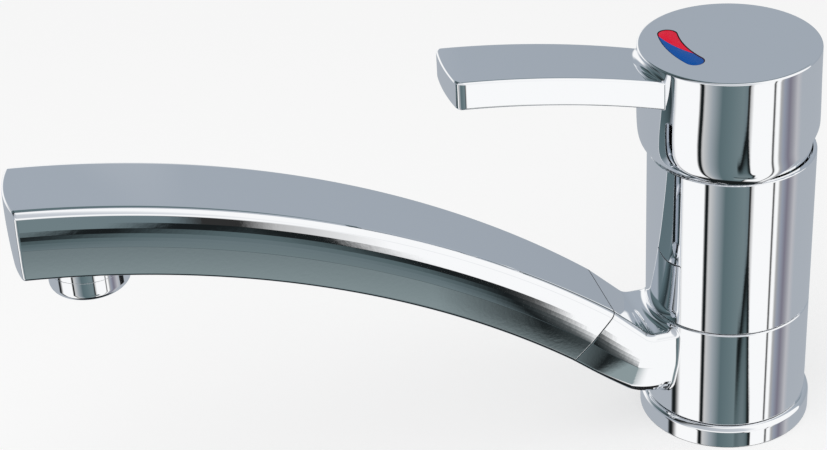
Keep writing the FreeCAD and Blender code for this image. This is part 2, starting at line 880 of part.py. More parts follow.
def spout_bottom(s):
    """Height of the spout's lower face."""
    a = math.radians(joint_tilt)
    s0 = joint_top_s + joint_height * math.sin(a)
    z0 = z_root + joint_top_up - joint_height * math.cos(a)
    return arc_height(s, spout_bottom_arc_r, s0, z0, spout_bottom_angle)


# Levels of the aerator, which follow the spout's underside

z_aerator_collar_1 = spout_bottom(aerator_s - aerator_r) - seam_gap
z_aerator_0 = z_aerator_collar_1 - aerator_collar_h
z_aerator_thread_1 = z_aerator_collar_1 + aerator_thread_h
z_aerator_seat = z_aerator_thread_1 + aerator_gasket_h


def spout_top_centre():
    """Side-view centre of the spout's upper arc."""
    a = math.radians(spout_top_angle)
    s = joint_top_s + spout_top_arc_r * math.sin(a)
    return side_point(s, z_root + joint_top_up - spout_top_arc_r * math.cos(a))


def leaning_sides():
    """Cone-shaped cuts that lean the lower half of both sides inward, below the crease."""
    centre = spout_top_centre()
    crease = spout_top_arc_r - spout_crease_drop
    depth = 2 * joint_height
    cuts = []
    for side in (-1, 1):
        x0 = side * spout_w / 2
        x1 = side * spout_w
        x2 = side * (spout_w / 2 - spout_lean * depth)
        low = crease - depth
        corners = [V(x0, 0, crease), V(x1, 0, crease), V(x1, 0, low), V(x2, 0, low)]
        face = Part.Face(Part.makePolygon(corners + corners[:1]))
        face.translate(centre)
        face.rotate(centre, X_AXIS, -spout_top_angle - cut_over_angle)
        cuts.append(face.revolve(centre, X_AXIS, 2 * spout_top_angle))
    return cuts


def beyond_joint():
    """Large block on the spout's side of the joint plane."""
    centre, along = joint_axis()
    size = 2 * spout_reach
    half = Part.makeBox(size, size, size, V(-size / 2, -size / 2, 0))
    half.rotate(ORIGIN, X_AXIS, 90 - joint_tilt)
    half.translate(centre)
    return half


def spout_end_form():
    """Everything behind the bowed end face."""
    half = spout_w / 2
    bow_r = (half ** 2 + spout_end_bow ** 2) / (2 * spout_end_bow)
    middle = spout_reach - bow_r
    z_mid = (spout_top(spout_reach) + spout_bottom(spout_reach)) / 2
    rise = 2 * half
    narrow = bow_r - 4 * spout_end_swell
    swell = Part.Arc(V(narrow, 0, z_mid - rise), V(bow_r, 0, z_mid), V(narrow, 0, z_mid + rise))
    top_line = Part.makeLine(V(narrow, 0, z_mid + rise), V(0, 0, z_mid + rise))
    axis_line = Part.makeLine(V(0, 0, z_mid + rise), V(0, 0, z_mid - rise))
    low_line = Part.makeLine(V(0, 0, z_mid - rise), V(narrow, 0, z_mid - rise))
    face = Part.Face(Part.Wire([swell.toShape(), top_line, axis_line, low_line]))
    barrel = face.revolve(ORIGIN, Z_AXIS, 360)
    barrel.translate(V(0, -middle, 0))
    return barrel.fuse(block(-spout_w, spout_w, -middle, 0, 0, 2 * z_top))


def spout_form():
    """Outer form of the spout tube."""
    bar = slab(spout_top, spout_bottom, joint_top_s - joint_margin,
               spout_reach + spout_end_bow, spout_w)
    bar = fillet_where(bar, spout_edge_r, lambda e: on_long_edge(e, spout_top_arc_r))
    bar = bar.cut(leaning_sides())
    bar = fillet_where(bar, spout_low_edge_r, on_low_edge)
    bar = bar.common(beyond_joint())
    return bar.common(spout_end_form())


def on_long_edge(edge, radius):
    """Whether an edge is a side-view arc of this radius."""
    return isinstance(edge.Curve, Part.Circle) and abs(edge.Curve.Radius - radius) < level_match


def on_low_edge(edge):
    """Whether an edge runs along the corner of the leaning side and the lower face."""
    middle = edge.valueAt((edge.FirstParameter + edge.LastParameter) / 2)
    return (edge.BoundBox.YLength > spout_reach / 2
            and abs(middle.z - spout_bottom(-middle.y)) < edge_match)


def spout_way():
    """Water way inside the spout, clear of the joint plug and of the aerator seat."""
    def roof(s):
        return spout_top(s) - spout_wall

    def floor(s):
        return spout_bottom(s) + spout_wall

    centre, along = joint_axis()
    first = -(centre + along * spout_plug_length).y
    last = aerator_s + aerator_r + spout_way_over
    way = slab(roof, floor, first, last, spout_way_w)
    seat_top = z_aerator_seat + aerator_seat_wall
    return way.cut(cylinder(aerator_r, 0, seat_top, 0, -aerator_s))


def spout_tube():
    """Flat-topped arched spout with its water way, joint bore and aerator seat."""
    centre, along = joint_axis()
    tube = spout_form()
    boss = cylinder(aerator_r, z_aerator_collar_1 + spout_seam, spout_top(aerator_s) - spout_wall,
                    0, -aerator_s)
    tube = tube.fuse(boss)
    below = -V(0, math.sin(math.radians(joint_tilt)), math.cos(math.radians(joint_tilt)))
    screw_at = centre + along * joint_screw_offset
    cuts = [
        spout_way(),
        rod(joint_tube_r + slip_gap, centre,
            centre + along * (spout_plug_length + joint_bore_spare)),
        rod(joint_screw_r, screw_at, screw_at + below * joint_height),
        cylinder(aerator_thread_r, z_aerator_0, z_aerator_seat, 0, -aerator_s),
        cylinder(aerator_outlet_r, z_aerator_seat, z_aerator_seat + 2 * aerator_seat_wall,
                 0, -aerator_s),
    ]
    return tube.cut(cuts)


def stub_section(place, tilt, height, bottom_r):
    """Rounded section of the elbow: flat top, sides that draw in below, round lower corners."""
    half = spout_w / 2
    low = half - spout_lean * (height - spout_crease_drop)
    corners = [
        (-half, 0, spout_edge_r),
        (half, 0, spout_edge_r),
        (low, -height, bottom_r),
        (-low, -height, bottom_r),
    ]
    a = math.radians(tilt)
    down = V(0, math.sin(a), math.cos(a))

    def point(x, h):
        return place + V(x, 0, 0) + down * h

    edges = []
    count = len(corners)
    ends = [corner_cut(corners[i - 1], corners[i], corners[(i + 1) % count]) for i in range(count)]
    for i in range(count):
        entry, middle, leave = ends[i]
        following = ends[(i + 1) % count][0]
        edges.append(Part.Arc(point(*entry), point(*middle), point(*leave)).toShape())
        edges.append(Part.makeLine(point(*leave), point(*following)))
    return Part.Wire(edges)


def corner_cut(before, corner, after):
    """Start, middle and end of the arc that rounds a corner between its neighbours."""
    cx, ch, r = corner
    to_before = V(before[0] - cx, before[1] - ch, 0).normalize()
    to_after = V(after[0] - cx, after[1] - ch, 0).normalize()
    half_angle = to_before.getAngle(to_after) / 2
    reach = r / math.tan(half_angle)
    inward = (to_before + to_after).normalize()
    at = V(cx, ch, 0)
    entry = at + to_before * reach
    leave = at + to_after * reach
    middle = at + inward * (r / math.sin(half_angle) - r)
    return [(p.x, p.y) for p in (entry, middle, leave)]


def elbow_form():
    """Stub that leaves the collar level and bends up to the spout joint."""
    a = math.radians(joint_tilt)
    joint_top = side_point(joint_top_s, z_root + joint_top_up)
    on_slope = joint_top + V(0, math.cos(a), -math.sin(a)) * elbow_slope_back
    root_top = z_elbow + elbow_half_h
    root_h = 2 * elbow_half_h
    sections = [
        stub_section(side_point(elbow_root_s, root_top), 0, root_h, elbow_bottom_r),
        stub_section(side_point(elbow_bend_s - elbow_level_end, root_top), 0, root_h,
                     elbow_bottom_r),
        stub_section(side_point(elbow_bend_s, root_top + elbow_bend_rise), elbow_bend_tilt,
                     elbow_bend_h, (elbow_bottom_r + spout_low_edge_r) / 2),
        stub_section(on_slope, joint_tilt, joint_height, spout_low_edge_r),
        stub_section(joint_top, joint_tilt, joint_height, spout_low_edge_r),
    ]
    return Part.makeLoft(sections, True)


def swivel_collar():
    """Collar that turns on the spigot, with the elbow that carries the spout."""
    collar = ring(barrel_r, collar_bore_r, z_collar_0, z_collar_1)
    collar = fillet_where(collar, edge_r, lambda e: rim_edge(e, z_collar_0, barrel_r)
                          or rim_edge(e, z_collar_1, barrel_r))
    elbow = elbow_form().cut(cylinder(collar_bore_r + cut_over, 0, z_rim))
    collar = fillet_where(collar.fuse(elbow), elbow_fillet, on_elbow_root)
    chamber = ring(collar_bore_r + collar_chamber_depth, collar_bore_r - cut_over,
                   z_collar_0 + swivel_seal_inset + collar_chamber_margin,
                   z_collar_1 - swivel_seal_inset - collar_chamber_margin)
    rebate = cylinder(spigot_r + slide_ring_w + slip_gap,
                      z_barrel_0 - slide_ring_h - running_gap, z_collar_1)
    centre, along = joint_axis()
    turn = centre - along * elbow_way_back
    root = V(0, -collar_bore_r + cut_over, turn.z)
    way = rod(elbow_way_r, centre, turn).fuse([
        Part.makeSphere(elbow_way_r, turn),
        rod(elbow_way_r, root, turn),
        rod(joint_tube_r, centre - along * joint_tube_half_length, centre),
    ])
    return collar.cut([chamber, rebate, way])


def on_elbow_root(edge):
    """Whether an edge lies on the collar's outside, clear of its two ends."""
    span = edge.LastParameter - edge.FirstParameter
    points = [edge.valueAt(edge.FirstParameter + span * part) for part in (0.1, 0.5, 0.9)]
    on_side = all(abs(math.hypot(p.x, p.y) - barrel_r) < edge_match for p in points)
    clear = all(z_collar_0 + edge_r < p.z < z_collar_1 - edge_r for p in points)
    front = max(vertex.Point.y for vertex in edge.Vertexes) < 0
    return on_side and clear and front


def spout_spigot():
    """Tube that joins the spout to the elbow, with a seal groove and a screw groove."""
    centre, along = joint_axis()
    start = centre - along * joint_tube_half_length
    end = centre + along * joint_tube_half_length
    tube = rod(joint_tube_r, start, end).cut(rod(joint_tube_r - joint_tube_wall, start, end))
    return tube.cut([joint_groove(joint_seal_offset, joint_seal_section - slip_gap,
                                  joint_seal_section),
                     joint_groove(joint_screw_offset, joint_screw_groove, 2 * joint_screw_r)])


def joint_groove(offset, depth, width):
    """Groove round the joint tube, offset from the joint plane."""
    centre, along = joint_axis()
    start = centre + along * (offset - width / 2)
    end = centre + along * (offset + width / 2)
    return rod(joint_tube_r + cut_over, start, end).cut(rod(joint_tube_r - depth, start, end))


def spout_joint_o_ring():
    """Seal ring between the joint tube and the spout's bore, in its fitted form."""
    centre, along = joint_axis()
    outer_r = joint_tube_r + slip_gap
    start = centre + along * (joint_seal_offset - joint_seal_section / 2)
    end = centre + along * (joint_seal_offset + joint_seal_section / 2)
    return rod(outer_r, start, end).cut(rod(outer_r - joint_seal_section, start, end))


def spout_fixing_screw():
    """Set screw under the spout that grips the joint tube's groove."""
    centre, along = joint_axis()
    below = -V(0, math.sin(math.radians(joint_tilt)), math.cos(math.radians(joint_tilt)))
    at = centre + along * joint_screw_offset + below * (joint_tube_r - joint_screw_groove)
    return rod(joint_screw_r, at, at + below * joint_screw_length)


# Aerator

def aerator_housing():
    """Chrome collar with a thread above and an inward lip below."""
    y = -aerator_s
    shell = cylinder(aerator_r, z_aerator_0, z_aerator_collar_1, 0, y)
    shell = fillet_where(shell, edge_r, lambda e: at_level(e, z_aerator_0))
    shell = shell.fuse(cylinder(aerator_thread_r, z_aerator_collar_1, z_aerator_thread_1, 0, y))
    inner = aerator_thread_r - aerator_wall
    shell = shell.cut(cylinder(inner, z_aerator_0 + insert_inset, z_aerator_thread_1, 0, y))
    return shell.cut(cylinder(inner - aerator_lip, z_aerator_0, z_aerator_thread_1, 0, y))


def aerator_insert():
    """Flow straightener: a plate with a honeycomb of hexagonal holes and a rim."""
    y = -aerator_s
    z0 = z_aerator_0 + insert_inset
    r = aerator_thread_r - aerator_wall - slip_gap
    plate = cylinder(r, z0, z0 + insert_h, 0, y)
    holes = []
    for q in range(-insert_rings, insert_rings + 1):
        for p in range(-insert_rings, insert_rings + 1):
            if abs(q + p) <= insert_rings:
                x = insert_pitch * (q + p / 2)
                dy = insert_pitch * p / hexagon_corner
                centre = V(x, y + dy, z0)
                corners = [centre + V(*polar(insert_hole_r, 60 * i + 30), 0) for i in range(7)]
                holes.append(Part.Face(Part.makePolygon(corners)).extrude(V(0, 0, insert_h)))
    return plate.cut(holes)


def aerator_gasket():
    """Rubber ring between the aerator and its seat in the spout."""
    return ring(aerator_thread_r, aerator_outlet_r, z_aerator_thread_1, z_aerator_seat,
                0, -aerator_s)


NODES = {
    "tap_body": tap_body,
    "cartridge_housing": cartridge_housing,
    "cartridge_base": cartridge_base,
    "cartridge_seals": cartridge_seals,
    "fixed_disc": fixed_disc,
    "cartridge_nut": cartridge_nut,
    "upper_slide_ring": upper_slide_ring,
    "lower_slide_ring": lower_slide_ring,
    "swivel_o_rings": swivel_o_rings,
    "base_ring": base_ring,
    "deck_gasket": deck_gasket,
    "under_deck_gasket": under_deck_gasket,
    "clamp_washer": clamp_washer,
    "back_nut": back_nut,
    "spindle_carrier": spindle_carrier,
    "carrier_o_ring": carrier_o_ring,
    "pivot_pin": pivot_pin,
    "disc_driver": disc_driver,
    "moving_disc": moving_disc,
    "lever_head": lever_head,
    "spindle": spindle,
    "index_red": lambda: index_inlay(-1),
    "index_blue": lambda: index_inlay(1),
    "grub_screw": grub_screw,
    "swivel_collar": swivel_collar,
    "spout_tube": spout_tube,
    "spout_spigot": spout_spigot,
    "spout_joint_o_ring": spout_joint_o_ring,
    "spout_fixing_screw": spout_fixing_screw,
    "aerator_housing": aerator_housing,
    "aerator_insert": aerator_insert,
    "aerator_gasket": aerator_gasket,
}


def main():
    """Write one STEP file per piece."""
    os.makedirs("parts", exist_ok=True)
    for name, make in NODES.items():
        shape = make()
        box = shape.BoundBox
        print(f"{name}: {len(shape.Solids)} solid(s), valid {shape.isValid()}, "
              f"volume {shape.Volume:.1f}, z {box.ZMin:.2f} to {box.ZMax:.2f}")
        shape.exportStep(f"parts/{name}.step")


main()
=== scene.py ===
# Looks of a single-lever mixer tap in polished chrome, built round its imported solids.
# Sizes are in millimetres and become metres when a mesh is made. +Z is up, the deck lies at
# z = 0, and the spout and the lever point along -Y. A side view is written as (s, z), s = -y.

import logging
import math
from collections.abc import Callable
from dataclasses import dataclass, field
from enum import Enum

import bmesh
import bpy
import numpy as np
from mathutils import Matrix, Vector


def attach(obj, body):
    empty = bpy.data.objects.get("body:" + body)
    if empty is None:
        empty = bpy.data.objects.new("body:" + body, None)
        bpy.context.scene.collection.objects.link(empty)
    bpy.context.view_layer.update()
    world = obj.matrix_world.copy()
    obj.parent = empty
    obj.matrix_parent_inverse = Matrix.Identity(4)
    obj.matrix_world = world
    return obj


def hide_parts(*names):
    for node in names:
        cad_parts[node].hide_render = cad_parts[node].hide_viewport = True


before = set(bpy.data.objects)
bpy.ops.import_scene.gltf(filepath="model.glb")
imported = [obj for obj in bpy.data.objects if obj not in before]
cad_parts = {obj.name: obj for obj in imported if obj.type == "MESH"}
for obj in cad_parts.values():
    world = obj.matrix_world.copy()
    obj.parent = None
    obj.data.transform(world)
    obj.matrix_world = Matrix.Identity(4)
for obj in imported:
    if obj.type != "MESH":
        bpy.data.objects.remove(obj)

Array = np.ndarray
Value = float | tuple[float, ...]
Tone = float | tuple[float, float, float]
MM = 0.001
TINY = 1e-9  # keeps a division from meeting zero
LEAST_ANGLE = 1e-6  # radians, for corners that hardly turn
LEAST_R = 0.05  # smallest radius of a rounded edge
SUPPORT = 0.05  # distance of the points that hold a flat beside an edge
QUARTER = np.linspace(0, math.pi / 2, 7)  # quarter turn over a rounded rim
MERGE, FLAT_EDGE = 2e-6, 1e-7  # metres: points this near become one, edges this short go
ROUNDS = 6  # repeats of a substitution, enough for its result to stand still
log = logging.getLogger("mixer_tap")


# Curves and grids

def unit(vectors: Array) -> Array:
    """Vectors of length one along the last axis."""
    return vectors / np.maximum(np.linalg.norm(vectors, axis=-1, keepdims=True), TINY)


def between(first: Array, last: Array, t: Array | float) -> Array:
    """Places at the share t of the way from the first to the last."""
    return first * (1 - t) + last * t


def swung(first: Array, last: Array, angle: Array, t: Array) -> Array:
    """Spokes at the share t of the swing from the first to the last, which lie an angle apart."""
    return (np.sin((1 - t) * angle) * first + np.sin(t * angle) * last) / np.sin(angle)


def rotated(p: Array | float, q: Array | float, degrees: float) -> tuple[Array, Array]:
    """Two coordinates, rotated by an angle from the first axis toward the second."""
    a = math.radians(degrees)
    return p * math.cos(a) - q * math.sin(a), p * math.sin(a) + q * math.cos(a)


def eased(corners: Array, radii: Array, steps: int = 8, closed: bool = True) -> Array:
    """Outline whose corners are rounded, for one outline or a stack of them.

    With u and w the unit directions from a corner to its neighbours and b their angle, the arc's
    centre is the corner plus (u + w) / |u + w| times r / sin(b / 2). The arc is swept from one
    tangent point to the other by spherical interpolation of the two spokes.

    Args:
        corners: Corner points, shape (..., n, k).
        radii: One radius for each corner, shape (n,) or (..., n).
        steps: Points on each arc.
        closed: Whether the last corner joins the first. An open line keeps its two ends.

    Returns:
        Points, shape (..., n * steps, k).
    """
    corners = np.asarray(corners, float)
    radii = np.broadcast_to(np.asarray(radii, float), corners.shape[:-1]).copy()
    back = np.roll(corners, 1, -2) - corners
    ahead = np.roll(corners, -1, -2) - corners
    if not closed:
        back[..., 0, :] = -ahead[..., 0, :]
        ahead[..., -1, :] = -back[..., -1, :]
        radii[..., [0, -1]] = 0.0
    u, w = unit(back), unit(ahead)
    half = np.arccos(np.clip((u * w).sum(-1), -1.0, 1.0)) / 2
    held = np.maximum(half, LEAST_ANGLE)
    reach = (radii / np.tan(held))[..., None]
    centre = corners + unit(u + w) * (radii / np.sin(held))[..., None]
    first, last = corners + u * reach - centre, corners + w * reach - centre
    sweep = np.maximum(math.pi - 2 * half, LEAST_ANGLE)[..., None, None]
    t = np.linspace(0.0, 1.0, steps)[:, None]
    arcs = centre[..., None, :] + swung(first[..., None, :], last[..., None, :], sweep, t)
    return arcs.reshape(*corners.shape[:-2], -1, corners.shape[-1])


def spline(knots: list[float], values: list[float], at: Array) -> Array:
    """Natural cubic through the knots: second derivatives solve the usual three-term equations.

    Args:
        knots: Rising places.
        values: Value at each knot.
        at: Places to read.

    Returns:
        Values at those places.
    """
    x, y = np.asarray(knots, float), np.asarray(values, float)
    h, n = np.diff(x), len(x)
    system, right = np.eye(n), np.zeros(n)
    inner = np.arange(1, n - 1)
    system[inner, inner - 1], system[inner, inner] = h[:-1], 2 * (h[:-1] + h[1:])
    system[inner, inner + 1] = h[1:]
    right[inner] = 6 * (np.diff(y)[1:] / h[1:] - np.diff(y)[:-1] / h[:-1])
    m = np.linalg.solve(system, right)
    i = np.clip(np.searchsorted(x, at) - 1, 0, n - 2)
    a, b = (x[i + 1] - at) / h[i], (at - x[i]) / h[i]
    bend = ((a ** 3 - a) * m[i] + (b ** 3 - b) * m[i + 1]) * h[i] ** 2 / 6
    return a * y[i] + b * y[i + 1] + bend


def braced(line: Array, closed: bool = True, near: float = SUPPORT, long: float = 0.6) -> Array:
    """Adds a point just inside both ends of each long step.

    Smooth shading averages the faces round a point, so that without them a flat between two
    rounded edges would look pillowed. A short step gets its own start twice more, and these
    merge with it.

    Args:
        line: One line or a stack of them, shape (..., n, k).
        closed: Whether the last point steps on to the first.
        near: Distance of the added points from the ends.
        long: Length from which a step counts as long.

    Returns:
        Points, shape (..., 3 n, k), without the last two where the line is open.
    """
    step = np.roll(line, -1, -2) - line
    length = np.linalg.norm(step, axis=-1, keepdims=True)
    share = near / np.maximum(length, TINY)
    inner = [line + step * np.where(length > long, part, 0) for part in (share, 1 - share)]
    dense = np.stack([line, *inner], -2).reshape(*line.shape[:-2], -1, line.shape[-1])
    return dense if closed else dense[..., :-2, :]


def divided(line: Array, long: float = 4.0, parts: int = 50, near: float = SUPPORT) -> Array:
    """Divides each long step of a closed line, so that a flat can follow a bowed face or wall.

    The steps are measured on the first line of a stack, and all its lines keep one count.

    Args:
        line: One line or a stack of them, shape (..., n, k).
        long: Length from which a step is divided.
        parts: Number of parts.
        near: Distance of the outermost added points from the ends of the step.

    Returns:
        Points, shape (..., m, k).
    """
    step = np.roll(line, -1, -2) - line
    length = np.linalg.norm(step, axis=-1, keepdims=True)
    count = np.where(length.reshape(-1, line.shape[-2])[0] > long, parts, 1)
    start = np.repeat(np.arange(len(count)), count)
    place = np.arange(len(start)) - np.repeat(np.cumsum(count) - count, count)
    edge = near / np.maximum(length[..., start, :], TINY)
    share = np.clip((place[:, None] - 1) / (parts - 2), edge, 1 - edge)
    return line[..., start, :] + step[..., start, :] * np.where(place[:, None] > 0, share, 0)


def turned(profile: Array, count: int = 192, centre: tuple[float, float] = (0.0, 0.0)) -> Array:
    """Surface of revolution: (r, z) goes to (x + r cos a, y + r sin a, z).

    Args:
        profile: Points (radius, height), shape (n, 2).
        count: Columns round the axis.
        centre: X and Y of the axis.

    Returns:
        Grid of points, shape (n, count, 3).
    """
    a = np.linspace(0, 2 * math.pi, count, endpoint=False)[None, :]
    profile = braced(profile, False)
    r, z = profile[:, :1], profile[:, 1:]
    return np.stack([centre[0] + r * np.cos(a), centre[1] + r * np.sin(a), z + 0 * a], -1)


def turned_ring(corners: Array, radii: Array, steps: int, count: int = 192,
                centre: tuple[float, float] = (0.0, 0.0)) -> Array:
    """Surface of revolution of a closed profile with rounded corners.

    Args:
        corners: Corners of the profile as (radius, height), shape (n, 2).
        radii: Radius of each corner.
        steps: Points on each corner.
        count: Columns round the axis.
        centre: X and Y of the axis.

    Returns:
        Grid of points, shape (rows, count, 3).
    """
    profile = eased(corners, radii, steps)
    return turned(np.concatenate([profile, profile[:1]]), count, centre)


def heart(ring: Array) -> Array:
    """Middle of the box round a ring."""
    return (ring.min(0) + ring.max(0)) / 2


def shrunk(ring: Array, steps: int, near: float = 0.0) -> Array:
    """Copies of a ring, drawn in to its middle.

    Args:
        ring: Points, shape (n, k).
        steps: Number of copies, the full size and the middle among them.
        near: Share by which one more copy, beside the ring, is smaller. At 0 there is none.

    Returns:
        Rings, shape (steps or steps + 1, n, k).
    """
    share = np.linspace(1, 0, steps)
    if near:
        share = np.insert(share, 1, 1 - near)
    return between(heart(ring), ring, share[:, None, None])


def raised(plan: Array, z: Array | float) -> Array:
    """Rings of plan points (x, y), each ring at its own height."""
    height = np.broadcast_to(np.reshape(z, (-1, 1, 1)), (*plan.shape[:2], 1))
    return np.concatenate([plan, height], -1)


def rooted(sweep: Array, ball_r: Array, wall: Callable[[Array], tuple[Array, Array]],
           sunk: float = 1.0, steps: int = 12) -> Array:
    """Joins a swept surface to a wall by the fillet of a ball that rolls in the corner.

    The ball's centre is where the surface, moved out along its normal by the radius, lies one
    radius off the wall. The fillet is the arc about it from the wall to the surface, and the
    rest of the surface follows. The first two rings close the root inside the wall.

    Args:
        sweep: Dense grid, shape (rows, columns, 3), whose first rows lie inside the wall.
        ball_r: Radius of the ball for each column.
        wall: Gives the distance of points from the wall, and the wall's normals there.
        sunk: How deep the root reaches into the wall.
        steps: Rows of the fillet.

    Returns:
        Grid that starts inside the wall and runs over the fillet to the sweep's last row.
    """
    normal = unit(np.cross(np.roll(sweep, -1, 1) - np.roll(sweep, 1, 1),
                           np.gradient(sweep, axis=0)))
    outward = (normal * (sweep - sweep.mean(1, keepdims=True))).sum(-1)
    normal *= np.sign(outward.mean())
    centre = sweep + ball_r[:, None] * normal
    away = wall(centre)[0] - ball_r
    column = np.arange(sweep.shape[1])
    after = np.maximum((away > 0).argmax(0), 1)
    before, beyond = away[after - 1, column], away[after, column]
    first = after - 1 - before / np.maximum(beyond - before, TINY)

    def at(grid: Array, row: Array) -> Array:
        """Points of the grid at fractional rows, one for each column."""
        low = np.clip(np.floor(row).astype(int), 0, len(grid) - 2)
        return between(grid[low, column], grid[low + 1, column], (row - low)[..., None])

    middle, touch = at(centre, first), at(sweep, first)
    out = wall(middle)[1]
    spoke = unit(touch - middle)
    angle = np.arccos(np.clip(-(out * spoke).sum(-1), -1, 1))[:, None]
    t = np.linspace(0, 1, steps)[:, None, None]
    fillet = middle + swung(-out, spoke, angle, t) * ball_r[:, None]
    share = np.linspace(0, 1, len(sweep))[1:, None]
    rest = at(sweep, first + share * (len(sweep) - 1 - first))
    root = fillet[:1] - sunk * out
    core = np.broadcast_to(root.mean(1, keepdims=True), root.shape)
    return np.concatenate([core, root, fillet, rest])


def from_side(x: Array, s: Array, z: Array) -> Array:
    """Points from their width and their side-view place."""
    x, s, z = np.broadcast_arrays(x, s, z)
    return np.stack([x, -s, z], -1)


def bow_radius(half: float, rise: float) -> float:
    """Radius of an arc by half its chord and its rise: (h^2 + b^2) / 2 b."""
    return (half ** 2 + rise ** 2) / (2 * rise)


@dataclass(frozen=True)
class Arc:
    """Side-view arc along which a section is carried: its centre and its radius."""

    s: float
    z: float
    radius: float

    @classmethod
    def start(cls, point: tuple[float, float], rise: float, radius: float) -> "Arc":
        """Arc that leaves a point, bending down, and climbs there by an angle in degrees."""
        a = math.radians(rise)
        return cls(point[0] + radius * math.sin(a), point[1] - radius * math.cos(a), radius)

    def turn(self, s: Array | float, depth: Array | float = 0.0) -> Array | float:
        """Angle of the spoke that meets the place s at a depth under the arc."""
        return np.arcsin((s - self.s) / (self.radius - depth))

    def place(self, outline: Array, turn: Array) -> Array:
        """Points (x, depth) on spokes at the angles turn: s = c + (R - depth) sin, z with cos."""
        arm = self.radius - outline[..., 1]
        return from_side(outline[..., 0], self.s + arm * np.sin(turn), self.z + arm * np.cos(turn))


def linked(name: str, data: bpy.types.ID) -> bpy.types.Object:
    """A new object in the scene.

    Args:
        name: Name of the object.
        data: Its mesh, lamp or camera.

    Returns:
        The object.
    """
    made = bpy.data.objects.new(name, data)
    bpy.context.scene.collection.objects.link(made)
    return made


@dataclass
class Shell:
    """Mesh of one piece, gathered from grids of points."""

    name: str
    points: list[Array] = field(default_factory=list)
    faces: list[Array] = field(default_factory=list)
    finishes: list[Array] = field(default_factory=list)

    def grid(self, points: Array, finish: int = 0) -> "Shell":
        """Adds a grid of quads: point (i, j) joins (i, j + 1), (i + 1, j + 1) and (i + 1, j).

        Args:
            points: Shape (rows, columns, 3), in millimetres. The last column joins the first.
            finish: Number of the finish that the faces wear.

        Returns:
            The shell itself.
        """
        rows, columns = points.shape[:2]
        start = sum(len(p) for p in self.points)
        index = start + np.arange(rows * columns).reshape(rows, columns)
        index = np.concatenate([index, index[:, :1]], 1)
        quads = np.stack([index[:-1, :-1], index[:-1, 1:], index[1:, 1:], index[1:, :-1]], -1)
        self.points.append(points.reshape(-1, 3))
        self.faces.append(quads.reshape(-1, 4))
        self.finishes.append(np.full((rows - 1) * columns, finish))
        return self

    def build(self, crease: float = 35.0) -> bpy.types.Object:
        """Makes the object: grids are merged along shared rims and poles, faces turned outward.

        Args:
            crease: Angle in degrees above which an edge stays sharp.

        Returns:
            The object, linked to the scene, at the origin.
        """
        mesh = bpy.data.meshes.new(self.name)
        mesh.from_pydata((np.concatenate(self.points) * MM).tolist(), [],
                         np.concatenate(self.faces).tolist())
        mesh.polygons.foreach_set("material_index", np.concatenate(self.finishes))
        work = bmesh.new()
        work.from_mesh(mesh)
        bmesh.ops.remove_doubles(work, verts=work.verts, dist=MERGE)
        bmesh.ops.dissolve_degenerate(work, edges=work.edges, dist=FLAT_EDGE)
        bmesh.ops.recalc_face_normals(work, faces=work.faces)
        work.to_mesh(mesh)
        work.free()
        mesh.polygons.foreach_set("use_smooth", np.ones(len(mesh.polygons), bool))
        mesh.set_sharp_from_angle(angle=math.radians(crease))
        return linked(self.name, mesh)


# Materials

class Wire:
    """A socket of a node tree that can be used in sums: each operator adds its Math node."""

    def __init__(self, paint: "Paint", socket: bpy.types.NodeSocket) -> None:
        """Keeps the socket and the material that it belongs to."""
        self.paint, self.socket = paint, socket

    def _math(self, operation: str, *terms: "Wire | float") -> "Wire":
        """One Math node of these terms."""
        return self.paint.node("ShaderNodeMath", {"operation": operation},
                               dict(enumerate(terms)))

    def __add__(self, other: "Wire | float") -> "Wire":
        """Sum."""
        return self._math("ADD", self, other)

    def __radd__(self, other: float) -> "Wire":
        """Sum, number first."""
        return self._math("ADD", other, self)

    def __sub__(self, other: "Wire | float") -> "Wire":
        """Difference."""
        return self._math("SUBTRACT", self, other)

    def __rsub__(self, other: float) -> "Wire":
        """Difference, number first."""
        return self._math("SUBTRACT", other, self)

    def __mul__(self, other: "Wire | float") -> "Wire":
        """Product."""
        return self._math("MULTIPLY", self, other)

    def __rmul__(self, other: float) -> "Wire":
        """Product, number first."""
        return self._math("MULTIPLY", other, self)

    def __truediv__(self, other: "Wire | float") -> "Wire":
        """Quotient."""
        return self._math("DIVIDE", self, other)


